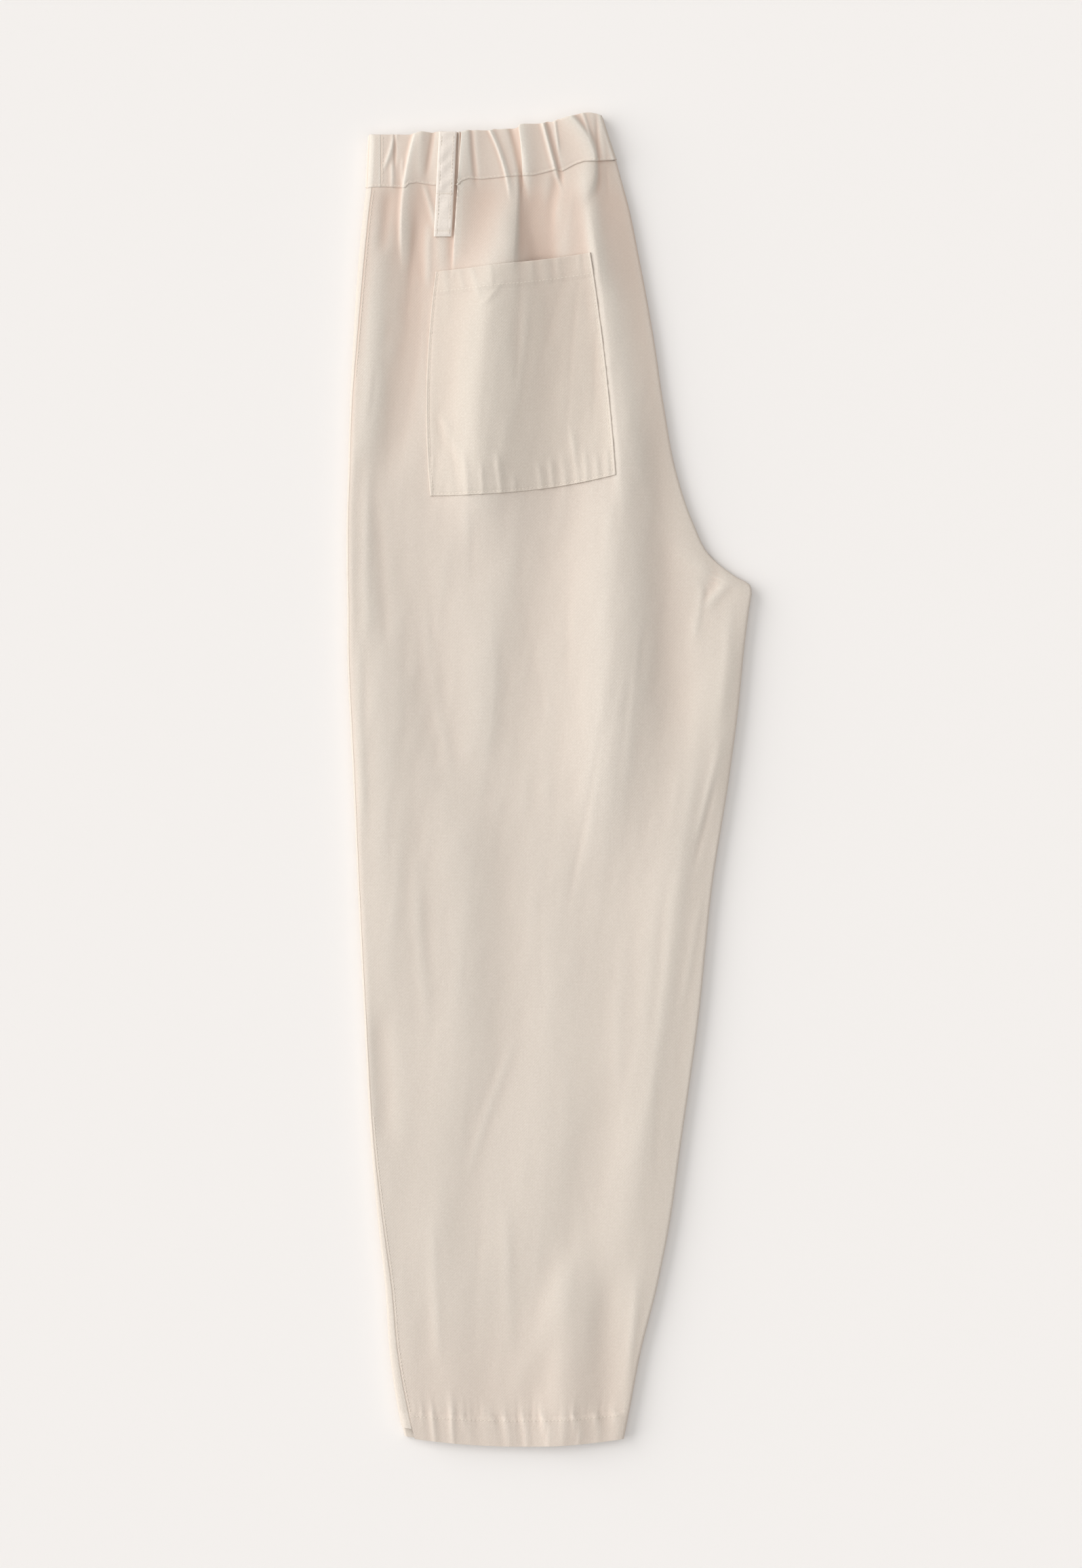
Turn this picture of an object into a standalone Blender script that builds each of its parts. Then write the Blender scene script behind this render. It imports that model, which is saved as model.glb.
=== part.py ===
"""Tapered trousers with an elasticated waist, folded lengthwise leg on leg and laid flat.

The waist points to +Y, the hems to -Y, and the crotch to +X. The left leg lies on the right one
with its back upwards. Every size in this file is in millimetres until a mesh is made from it.
"""

from collections import namedtuple
from math import ceil, radians

import bmesh
import bpy
import numpy as np
from mathutils import Vector
from mathutils.bvhtree import BVHTree

MM = 0.001
LENGTH = 1010.4  # top of the waistband to the lowest point of the hem
CLOTH = 1.2
BAND_CLOTH = 1.8  # two layers of cloth with the elastic between them
SEAM_GAP = 0.3
LIFT = 0.6  # clearance under what is sewn on top of a panel

# Heights of the stack, from the surface that the trousers lie on
LAYER = 2.2  # one hidden layer of a leg
UNDER_LEG_TOP = 2 * LAYER
UPPER_LEG_LOW = UNDER_LEG_TOP + SEAM_GAP
EDGE_RADIUS = 1.8  # how tightly the cloth turns at the edge of the upper leg
UPPER_LEG_MID = UPPER_LEG_LOW + EDGE_RADIUS
WRAP_LOW = UPPER_LEG_LOW + 0.1  # where the seat seam lies, half way down the stack
WRAP_INSET = 8.0  # the front panels lie inside the seat seam by this much
LEFT_SWELL = 5.0  # how far in from the left edge the upper leg reaches its full height
HEM_DEEP = 20.0
HEM_STEP = 0.7

BAND_LAYER = 2.4
BAND_LAYERS_BELOW = 3
BAND_LOW = BAND_LAYER * BAND_LAYERS_BELOW + SEAM_GAP
BAND_RADIUS = 2.2
BAND_CROWN = 10.8
BAND_FALL = 16.0
FRONT_BAND_END = -127.3  # the elastic's end, where the flatter front band begins

LOOP_WIDE = 13.6
LOOP_CLOTH = 1.2
LOOP_RADIUS = 1.8
POCKET_HEM_DEEP = 17.0
POCKET_HEM_STEP = 0.6

# One row for each section across the leg, from the waist seam to the hem. left and right are the
# edges, each with its distance down from the top, sag lowers the row's middle, seam is the side
# seam's distance in from the left edge, crown is the height and fall the right edge's rounding.
Section = namedtuple("Section", "left left_down right right_down sag seam crown fall")
SECTIONS = [
    Section(-138.5, 54.9, 50.6, 34.8, 5.7, 4.6, 10.3, 30.0),
    Section(-140.6, 72.6, 59.7, 68.5, 3.0, 4.6, 10.3, 32.0),
    Section(-144.2, 108.7, 68.0, 108.7, 0.0, 4.6, 10.2, 34.0),
    Section(-148.3, 170.5, 79.3, 170.5, 0.0, 3.2, 10.0, 34.0),
    Section(-150.9, 222.0, 87.0, 222.0, 0.0, 1.8, 9.8, 32.0),
    Section(-152.4, 273.5, 96.8, 273.5, 0.0, 1.6, 9.7, 30.0),
    Section(-153.5, 312.1, 109.2, 310.5, 0.0, 1.6, 9.6, 27.0),
    Section(-153.5, 337.8, 121.5, 334.8, 0.0, 1.6, 9.6, 23.0),
    Section(-153.5, 354.8, 132.9, 345.1, 0.0, 1.6, 9.6, 19.0),
    Section(-153.0, 368.7, 144.2, 352.8, 0.0, 1.6, 9.6, 16.0),
    Section(-153.0, 379.0, 151.4, 356.4, 0.0, 1.6, 9.6, 14.0),
    Section(-153.0, 389.3, 153.5, 361.5, 0.0, 1.6, 9.6, 14.0),
    Section(-153.0, 404.8, 151.9, 373.9, 0.0, 1.6, 9.6, 14.0),
    Section(-152.4, 428.0, 148.3, 402.2, 0.0, 1.6, 9.6, 15.0),
    Section(-150.9, 458.9, 143.7, 448.6, 0.0, 1.6, 9.5, 16.0),
    Section(-148.8, 500.1, 137.0, 500.1, 0.0, 1.6, 9.5, 16.0),
    Section(-145.2, 582.5, 124.1, 582.5, 0.0, 1.6, 9.4, 16.0),
    Section(-140.1, 685.5, 113.3, 685.5, 0.0, 1.8, 9.4, 16.0),
    Section(-134.4, 788.5, 98.9, 788.5, 0.0, 2.6, 9.4, 15.0),
    Section(-129.8, 840.0, 91.7, 840.0, 0.0, 4.0, 9.4, 14.0),
    Section(-124.1, 891.5, 81.4, 891.5, 0.0, 5.2, 9.4, 13.0),
    Section(-120.5, 943.0, 68.5, 943.0, 0.8, 6.4, 9.4, 12.0),
    Section(-114.3, 984.2, 60.8, 984.2, 4.6, 8.0, 9.4, 12.0),
    Section(-110.2, 1003.2, 56.6, 1004.8, 6.4, 8.4, 9.4, 12.0),
]
CROTCH_DOWN = 374.0  # mean distance down of the row through the crotch's tip

# The waistband's upper and lower edges
BandEdge = namedtuple("BandEdge", "left left_down right right_down sag")
BAND_EDGES = [
    BandEdge(-136.5, 15.2, 40.0, 0.0, 4.4),
    BandEdge(-138.5, 54.6, 50.5, 34.5, 5.7),
]

# Ridges (height above 0) and troughs (below 0) of the cloth. Each line runs down the garment
# from start to end, through x at its top, middle and end, and fades out at both ends. lean above
# 0 makes the right side the wider one, and below 0 the left.
Fold = namedtuple("Fold", "x_top x_middle x_end start end width height lean")
GATHERS = [
    Fold(-117.0, -117.5, -118.0, -10, 80, 4.0, 1.5, -0.3),
    Fold(-103.5, -109.5, -112.0, -20, 120, 5.0, 2.6, -0.4),
    Fold(-79.0, -81.5, -80.0, -20, 125, 7.5, 3.0, -0.3),
    Fold(-60.5, -65.5, -68.0, -20, 90, 5.0, 2.2, -0.3),
    Fold(-49.0, -32.5, -28.0, -20, 110, 7.0, 3.4, -0.3),
    Fold(-8.0, 2.5, 2.0, -20, 75, 4.5, 1.8, -0.2),
    Fold(22.0, 35.0, 37.0, -40, 120, 9.0, 3.6, -0.3),
]
DRAPES = [
    Fold(-132.4, -136.5, -139.0, 40, 200, 8.0, 0.9, 0.0),
    Fold(-112.0, -108.0, -113.0, 65, 260, 15.0, -1.8, 0.0),
    Fold(-50.0, -47.0, -49.0, 95, 310, 22.0, 2.8, 0.2),
    Fold(-12.0, 8.0, 4.0, 60, 380, 19.0, -1.7, 0.2),
    Fold(36.0, 43.0, 44.0, 85, 500, 18.0, 2.4, 0.0),
    Fold(85.0, 90.0, 82.0, 240, 500, 15.0, -1.2, 0.0),
    Fold(130.0, 126.0, 112.0, 350, 620, 12.0, 1.0, 0.0),
    Fold(-103.0, -77.0, -44.0, 285, 480, 14.0, 1.7, 0.0),
    Fold(-139.0, -113.0, -86.0, 265, 480, 13.0, -1.3, 0.0),
    Fold(-18.0, -26.0, -44.0, 295, 480, 12.0, 1.4, 0.0),
    Fold(-62.0, -60.0, -48.0, 480, 710, 18.0, 1.4, 0.3),
    Fold(20.0, 12.0, 16.0, 470, 900, 22.0, 1.2, 0.0),
    Fold(-133.0, -132.0, -130.0, 660, 770, 8.0, -0.9, 0.0),
    Fold(18.0, 16.0, 12.0, 850, 1030, 16.0, 1.2, 0.4),
    Fold(46.0, 44.0, 44.0, 860, 1000, 9.0, -1.2, 0.0),
    Fold(-70.0, -64.0, -58.0, 760, 1030, 20.0, 1.1, 0.0),
]
FADE_SHARE = 0.3

# Corners of the patch pocket, and how far its left and lower edges bow out
Corner = namedtuple("Corner", "x down")
POCKET_TOP_LEFT = Corner(-86.0, 120.5)
POCKET_TOP_RIGHT = Corner(31.0, 106.5)
POCKET_LOW_LEFT = Corner(-90.2, 290.5)
POCKET_LOW_RIGHT = Corner(50.4, 275.0)
POCKET_LEFT_BOW = 5.0
POCKET_LOW_BOW = 4.5
LOOP_TOP = Corner(-76.7, 13.3)
LOOP_END = Corner(-80.6, 94.2)

ROW_STEP = 26.0
TOP_COLUMNS = 30
UNDER_COLUMNS = 7
BAND_ROWS = 6
BAND_COLUMNS = 58
POCKET_ROWS = 13
POCKET_COLUMNS = 16
LOOP_ROWS = 11
EDGE_STEPS = np.array([0.0, 0.13, 0.5, 1.0, 2.6])  # shares of the edge's radius, from the edge in
STRIP_STEPS = np.array([1.0, 0.5, 0.18, 0.04, 0.0])  # shares of the strip beside the side seam
TURN = np.radians([45.0, 90.0])

CLOTH_COLOURS = {
    "left_back": (0.66, 0.57, 0.47),
    "left_front": (0.69, 0.60, 0.50),
    "right_leg": (0.62, 0.53, 0.44),
    "waistband_left_back": (0.70, 0.62, 0.52),
    "waistband_left_front": (0.72, 0.64, 0.55),
    "waistband_folded": (0.61, 0.52, 0.43),
    "belt_loop": (0.74, 0.66, 0.56),
    "back_pocket": (0.73, 0.65, 0.55),
}


def follow(knots, values, at):
    """A smooth curve through the values at the knots, read at other places."""
    knots = np.asarray(knots, float)
    values = np.asarray(values, float)
    slopes = np.gradient(values, knots, axis=0)
    first = np.clip(np.searchsorted(knots, at, side="right") - 1, 0, len(knots) - 2)
    span = (knots[first + 1] - knots[first])[:, None]
    share = (at - knots[first])[:, None] / span
    near, far = values[first], values[first + 1]
    bend = 3 * share**2 - 2 * share**3
    leave = (share - 2 * share**2 + share**3) * span * slopes[first]
    arrive = (share**3 - share**2) * span * slopes[first + 1]
    return near + (far - near) * bend + leave + arrive


def smoothstep(share):
    share = np.clip(share, 0, 1)
    return share**2 * (3 - 2 * share)


def relief(x, down):
    """Height of the folds at each place: a bell across each fold's line, faded at its two ends."""
    total = np.zeros(np.broadcast(x, down).shape)
    for fold in GATHERS + DRAPES:
        along = np.clip((down - fold.start) / (fold.end - fold.start), 0, 1)
        line = (
            fold.x_top * (1 - along) * (1 - 2 * along)
            + fold.x_middle * 4 * along * (1 - along)
            + fold.x_end * along * (2 * along - 1)
        )
        away = x - line
        width = fold.width * (1 + fold.lean * np.sign(away))
        fade = smoothstep(along / FADE_SHARE) * smoothstep((1 - along) / FADE_SHARE)
        total += fold.height * fade * np.exp(-((away / width) ** 2))
    return total


def rounding(distance, radius):
    """The rise of a quarter circle, from 0 at the edge to 1 at one radius inside it."""
    inside = np.clip(distance / radius, 0, 1)
    return np.sqrt(1 - (1 - inside) ** 2)


def swell(distance, width):
    return np.sin(np.pi / 2 * np.clip(distance / width, 0, 1))


def section_knots():
    return [(row.left_down + row.right_down) / 2 for row in SECTIONS]


def section_rows():
    """Sections at every control row and at even steps between them, with a pair at the hem's fold."""
    knots = section_knots()
    places = []
    for here, there in zip(knots, knots[1:]):
        places.extend(np.linspace(here, there, ceil((there - here) / ROW_STEP) + 1)[:-1])
    places.append(knots[-1])
    fold_line = knots[-1] - HEM_DEEP
    places = sorted(set(places) - {knots[-2]} | {fold_line - 1.0, fold_line})
    return np.array(places), follow(knots, SECTIONS, np.array(places))


def place(x, left, left_down, right, right_down, sag):
    """Distance down at each x of a row that runs from the left edge to the right one."""
    share = (x - left) / (right - left)
    return left_down + (right_down - left_down) * share + sag * 4 * share * (1 - share)


def to_points(x, down, height):
    """The points in metres, with +Y towards the waist and the middle at the origin."""
    x, down, height = np.broadcast_arrays(x, down, height)
    return np.stack([x, LENGTH / 2 - down, height], axis=-1) * MM


def edge_columns(right, seam, columns, radius):
    """x of each column over the top, from the right edge to the seam, closest at the edges."""
    near_right = right - EDGE_STEPS * radius
    near_seam = seam + EDGE_STEPS[1:][::-1] * radius
    between = np.linspace(near_right[..., -1], near_seam[..., 0], columns, axis=-1)
    return np.concatenate([near_right, between[..., 1:-1], near_seam, seam], axis=-1)


def upper_leg_skin():
    """Points round the upper leg: over its top from right to left, round the edge, and back below.

    Over the top a point is as high as the crown and its folds, less the rounding at the edges.
    Returns the grid and the number of its columns that lie before the side seam.
    """
    places, rows = section_rows()
    left, left_down, right, right_down, sag, seam, crown, fall = (
        column[:, None] for column in rows.T
    )
    wrapped = places[:, None] < CROTCH_DOWN
    top_x = edge_columns(right, left + seam, TOP_COLUMNS, EDGE_RADIUS)
    strip_x = left + (seam - SEAM_GAP) * STRIP_STEPS
    over_x = np.concatenate([top_x, strip_x], axis=1)
    over_down = place(over_x, left, left_down, right, right_down, sag)
    low_right = np.where(wrapped, WRAP_LOW, UPPER_LEG_MID + SEAM_GAP / 2)
    low = low_right + (UPPER_LEG_MID - low_right) * (right - over_x) / (right - left)
    hem = smoothstep(places[:, None] - (places[-1] - HEM_DEEP - 1.0)) * HEM_STEP
    full = crown + relief(over_x, over_down) + hem - low - EDGE_RADIUS
    tip = rounding(right - over_x, EDGE_RADIUS) * rounding(over_x - left, EDGE_RADIUS)
    body = swell(right - over_x, fall) * swell(over_x - left, LEFT_SWELL)
    over = to_points(over_x, over_down, low + EDGE_RADIUS * tip + full * body)

    end = right - np.where(wrapped, WRAP_INSET, 0.0)
    rise = np.where(wrapped, 0.0, EDGE_RADIUS - SEAM_GAP / 2)
    turn_x = left + EDGE_RADIUS * (1 - np.cos(TURN))
    turn_z = np.broadcast_to(UPPER_LEG_MID - EDGE_RADIUS * np.sin(TURN), turn_x.shape)
    flat_x = np.linspace(turn_x[:, -1], end[:, 0] - EDGE_RADIUS, UNDER_COLUMNS, axis=1)[:, 1:]
    flat_z = np.full(flat_x.shape, UPPER_LEG_LOW)
    up_x = end - EDGE_RADIUS * (1 - np.sin(TURN))
    up_z = UPPER_LEG_LOW + rise * (1 - np.cos(TURN))
    below_x = np.concatenate([turn_x, flat_x, up_x], axis=1)
    below_z = np.concatenate([turn_z, flat_z, up_z], axis=1)
    below = to_points(below_x, place(below_x, left, left_down, right, right_down, sag), below_z)
    return np.concatenate([over, below], axis=1), top_x.shape[1]


def band_skin():
    """Points over the upper side of the waistband, from its right edge round to its left one."""
    share = np.linspace(0, 1, BAND_ROWS)[:, None]
    first, last = (np.array(edge) for edge in BAND_EDGES)
    left, left_down, right, right_down, sag = (
        column[:, None] for column in (first + (last - first) * share).T
    )
    top_x = edge_columns(right, np.full_like(left, FRONT_BAND_END), BAND_COLUMNS, BAND_RADIUS)
    strip_x = left + (FRONT_BAND_END - SEAM_GAP - left) * STRIP_STEPS
    x = np.concatenate([top_x, strip_x], axis=1)
    down = place(x, left, left_down, right, right_down, sag)
    full = BAND_CROWN + relief(x, down) - BAND_LOW - BAND_RADIUS
    tip = rounding(right - x, BAND_RADIUS) * rounding(x - left, BAND_RADIUS)
    body = swell(right - x, BAND_FALL) * swell(x - left, LEFT_SWELL)
    return to_points(x, down, BAND_LOW + BAND_RADIUS * tip + full * body), top_x.shape[1]


def inner_side(skin, thickness, seam_column=None):
    """The skin moved in by its thickness along its normals.

    The normals agree on both sides of a seam, lie in the section at the first and last rows, and
    are level where the cloth's first or last column stands upright.
    """
    across = np.gradient(skin, axis=1)
    if seam_column is not None:
        shared = skin[:, seam_column + 1] - skin[:, seam_column - 2]
        across[:, seam_column - 1] = shared
        across[:, seam_column] = shared
    normals = np.cross(across, np.gradient(skin, axis=0))
    if seam_column is not None:
        normals[[0, -1], :, 1] = 0
        borders = normals[:, [0, -1]]
        borders[..., 2] *= abs(borders[..., 2]) > abs(borders[..., 0])
        normals[:, [0, -1]] = borders
    normals /= np.linalg.norm(normals, axis=-1, keepdims=True)
    return skin - normals * thickness * MM


def wall(name, outer, inner):
    """A closed sheet of cloth between two grids of points, with its four borders joined."""
    rows, columns = outer.shape[:2]
    mesh = bmesh.new()
    outer_verts = [[mesh.verts.new(point) for point in row] for row in outer]
    inner_verts = [[mesh.verts.new(point) for point in row] for row in inner]
    for i in range(rows - 1):
        for j in range(columns - 1):
            a, b = outer_verts[i][j : j + 2]
            d, c = outer_verts[i + 1][j : j + 2]
            mesh.faces.new((a, b, c, d))
            a, b = inner_verts[i][j : j + 2]
            d, c = inner_verts[i + 1][j : j + 2]
            mesh.faces.new((d, c, b, a))
    borders = [
        ([row[0] for row in outer_verts], [row[0] for row in inner_verts]),
        ([row[-1] for row in inner_verts], [row[-1] for row in outer_verts]),
        (inner_verts[0], outer_verts[0]),
        (outer_verts[-1], inner_verts[-1]),
    ]
    for one, other in borders:
        for i in range(len(one) - 1):
            mesh.faces.new((one[i], one[i + 1], other[i + 1], other[i]))
    bmesh.ops.recalc_face_normals(mesh, faces=mesh.faces)
    return add_object(name, mesh)


def folded_stack(name, outline, layers, layer):
    """Hidden layers as one solid: the outline at rising heights, drawn in between the layers."""
    ahead = np.roll(outline, -1, axis=0) - np.roll(outline, 1, axis=0)
    inward = np.stack([-ahead[:, 1], ahead[:, 0]], axis=1)
    inward /= np.linalg.norm(inward, axis=1, keepdims=True)
    mesh = bmesh.new()
    rings = []
    for number in range(layers):
        for angle in np.radians([-75.0, -35.0, 0.0, 35.0, 75.0]):
            height = layer * (number + 0.5 + 0.5 * np.sin(angle) / np.sin(np.radians(75.0)))
            inset = SEAM_GAP + layer / 2 * (1 - np.cos(angle))
            points = to_points(*(outline + inward * inset).T, height)
            rings.append([mesh.verts.new(point) for point in points])
    count = len(outline)
    for lower, upper in zip(rings, rings[1:]):
        for i in range(count):
            after = (i + 1) % count
            mesh.faces.new((lower[i], lower[after], upper[after], upper[i]))
    mesh.faces.new(rings[0])
    mesh.faces.new(rings[-1])
    bmesh.ops.recalc_face_normals(mesh, faces=mesh.faces)
    return add_object(name, mesh)


def outline_of(edges, columns):
    """The outline of rows of (left, left_down, right, right_down, sag), as x and distance down."""
    left, left_down, right, right_down, sag = np.asarray(edges, float).T
    shares = np.linspace(0, 1, columns)[1:-1]
    ends = []
    for row in (0, -1):
        x = left[row] + (right[row] - left[row]) * shares
        down = place(x, left[row], left_down[row], right[row], right_down[row], sag[row])
        ends.append(np.stack([x, down], axis=1))
    left_edge = np.stack([left, left_down], axis=1)
    right_edge = np.stack([right, right_down], axis=1)
    return np.concatenate([ends[0], right_edge, ends[1][::-1], left_edge[::-1]])


def add_object(name, mesh):
    data = bpy.data.meshes.new(name)
    mesh.to_mesh(data)
    mesh.free()
    data.shade_smooth()
    data.set_sharp_from_angle(angle=radians(50))
    thing = bpy.data.objects.new(name, data)
    collection().objects.link(thing)
    thing.data.materials.append(cloth_material(name))
    return thing


def cloth_material(name):
    material = bpy.data.materials.new(name)
    material.use_nodes = True
    shader = material.node_tree.nodes["Principled BSDF"]
    shader.inputs["Base Color"].default_value = (*CLOTH_COLOURS[name], 1)
    shader.inputs["Roughness"].default_value = 0.9
    shader.inputs["Metallic"].default_value = 0.0
    return material


def collection():
    found = bpy.data.collections.get("tapered_trousers")
    if found is None:
        found = bpy.data.collections.new("tapered_trousers")
        bpy.context.scene.collection.children.link(found)
    return found


def surface_tree(*grids):
    """A tree of the grids' faces, to read how high the cloth lies at a place."""
    points, faces = [], []
    for grid in grids:
        rows, columns = grid.shape[:2]
        index = np.arange(rows * columns).reshape(rows, columns) + len(points)
        corners = (index[:-1, :-1], index[:-1, 1:], index[1:, 1:], index[1:, :-1])
        faces.extend(np.stack(corners, axis=-1).reshape(-1, 4).tolist())
        points.extend(grid.reshape(-1, 3).tolist())
    return BVHTree.FromPolygons(points, faces)


def lying_height(tree, x, down):
    """Height in millimetres of the cloth at a place, read straight down."""
    start = Vector(to_points(x, down, 100.0).tolist())
    hit = tree.ray_cast(start, Vector((0, 0, -1)))[0]
    return hit.z / MM


def make_legs():
    skin, seam_column = upper_leg_skin()
    inner = inner_side(skin, CLOTH, seam_column)
    wall("left_back", skin[:, :seam_column], inner[:, :seam_column])
    wall("left_front", skin[:, seam_column:], inner[:, seam_column:])
    knots = section_knots()
    edges = follow(knots, [row[:5] for row in SECTIONS], np.array(knots))
    folded_stack("right_leg", outline_of(edges, 10), 2, LAYER)
    return skin[:, :seam_column]


def make_waistband():
    skin, seam_column = band_skin()
    inner = inner_side(skin, BAND_CLOTH, seam_column)
    wall("waistband_left_back", skin[:, :seam_column], inner[:, :seam_column])
    wall("waistband_left_front", skin[:, seam_column:], inner[:, seam_column:])
    folded_stack("waistband_folded", outline_of(BAND_EDGES, 12), BAND_LAYERS_BELOW, BAND_LAYER)
    return skin[:, :seam_column]


def make_belt_loop(tree):
    """A strap that turns over the waistband's upper edge and lies on the highest cloth under it."""
    centre = LOOP_TOP.down + SEAM_GAP
    downs = np.linspace(centre, LOOP_END.down, LOOP_ROWS)
    sides = np.linspace(-0.5, 0.5, 5) * LOOP_WIDE
    xs = np.interp(downs, [LOOP_TOP.down, LOOP_END.down], [LOOP_TOP.x, LOOP_END.x])
    under = [
        max(lying_height(tree, x + side, max(down, LOOP_TOP.down + 2.0)) for side in sides)
        for x, down in zip(xs, downs)
    ]
    tops = np.maximum.reduce([under, np.roll(under, 1), np.roll(under, -1)])
    tops[0] = max(under[:2])
    tops[-1] = max(under[-2:])
    tops += LIFT + LOOP_CLOTH
    turn = np.radians([0.0, 0.0, 30.0, 60.0])
    turn_down = centre - LOOP_RADIUS * np.cos(turn)
    turn_height = tops[0] - LOOP_RADIUS * (1 - np.sin(turn))
    turn_height[0] = BAND_LOW + 1.0
    down = np.concatenate([turn_down, downs])[:, None]
    height = np.concatenate([turn_height, tops])[:, None]
    x = np.concatenate([np.full(4, xs[0]), xs])[:, None] + sides[::-2]
    outer = to_points(x, down, height)
    wall("belt_loop", outer, inner_side(outer, LOOP_CLOTH))


def make_pocket(tree):
    """A patch that lies on the panel, its points those of the panel moved out."""
    across = np.linspace(1, 0, POCKET_COLUMNS)[None, :]
    size = POCKET_LOW_LEFT.down - POCKET_TOP_LEFT.down
    hem = POCKET_HEM_DEEP / size
    lower = np.linspace(hem, 1, POCKET_ROWS - 3)
    along = np.concatenate([[0.0, hem / 2, hem - 0.005], lower])[:, None]
    bulge = 4 * along * (1 - along)
    left_x = POCKET_TOP_LEFT.x + (POCKET_LOW_LEFT.x - POCKET_TOP_LEFT.x) * along - POCKET_LEFT_BOW * bulge
    right_x = POCKET_TOP_RIGHT.x + (POCKET_LOW_RIGHT.x - POCKET_TOP_RIGHT.x) * along
    left_down = POCKET_TOP_LEFT.down + size * along
    right_down = POCKET_TOP_RIGHT.down + (POCKET_LOW_RIGHT.down - POCKET_TOP_RIGHT.down) * along
    sag = POCKET_LOW_BOW * along * 4 * across * (1 - across)
    x = left_x + (right_x - left_x) * across
    down = left_down + (right_down - left_down) * across + sag
    under = np.vectorize(lambda a, b: lying_height(tree, a, b))(x, down) + LIFT
    step = np.where(along < hem - 0.001, POCKET_HEM_STEP, 0.0)
    wall("back_pocket", to_points(x, down, under + CLOTH + step), to_points(x, down, under))


def main():
    for thing in list(bpy.data.objects):
        bpy.data.objects.remove(thing)
    panel = make_legs()
    band = make_waistband()
    tree = surface_tree(panel, band)
    make_belt_loop(tree)
    make_pocket(tree)


main()
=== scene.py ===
"""Tapered trousers, folded leg on leg and laid flat: their cloth, sewing and a plain stage.

Tables are in millimetres, with x to the right and "down" measured from the waistband's top.
Points become metres, with the waist towards +Y, where a surface is worked out.
"""

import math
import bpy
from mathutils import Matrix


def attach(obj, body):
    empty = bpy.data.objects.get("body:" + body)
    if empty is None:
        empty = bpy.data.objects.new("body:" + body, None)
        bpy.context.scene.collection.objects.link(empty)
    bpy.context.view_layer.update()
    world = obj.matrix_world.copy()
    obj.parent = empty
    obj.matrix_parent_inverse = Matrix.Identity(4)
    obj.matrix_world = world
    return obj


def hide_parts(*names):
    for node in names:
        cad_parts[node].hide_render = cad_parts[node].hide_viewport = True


bl_info = {
    "name": "Tapered Trousers",
    "version": (1, 0, 0),
    "blender": (4, 5, 0),
    "location": "3D View > Sidebar > Trousers",
    "description": "Folded tapered trousers in pale twill, with their sewing and a plain stage",
    "category": "Object",
}

from collections import namedtuple

import bmesh
import bpy
import numpy as np

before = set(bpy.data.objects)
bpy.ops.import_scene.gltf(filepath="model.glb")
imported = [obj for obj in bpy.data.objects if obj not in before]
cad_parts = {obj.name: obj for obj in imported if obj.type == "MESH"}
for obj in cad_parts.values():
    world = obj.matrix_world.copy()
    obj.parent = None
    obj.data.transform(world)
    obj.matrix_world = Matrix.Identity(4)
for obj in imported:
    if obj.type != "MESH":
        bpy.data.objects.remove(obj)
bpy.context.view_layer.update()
BODY = "root"

MM = 0.001
LENGTH = 1010.4
# Heights of the layers above the floor, and the arcs and swells at their edges
EDGE_RADIUS = 1.8
UNDER_LEG_TOP = 4.4
UPPER_LEG_LOW = 4.7
UPPER_LEG_MID = UPPER_LEG_LOW + EDGE_RADIUS
WRAP_LOW = 4.8
WRAP_INSET = 8.0
LEFT_SWELL = 5.0
SEAM_TUCK = 0.7
HEM_DEEP = 20.0
HEM_STEP = 0.7
LAYER_GAP = 0.15
CROTCH_DOWN = 374.0
LOWEST = 7.4
BAND_LOW = 7.5
BAND_RADIUS = 2.2
BAND_CROWN = 11.0
BAND_FALL = 16.0
BAND_DEEP = 40.0
BAND_LAYER = 2.4
FRONT_BAND_END = -127.3
# x of the band's ends, at its upper edge and at the seam
BAND_LEFT = (-136.5, -138.5)
BAND_RIGHT = (40.0, 50.5)

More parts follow.
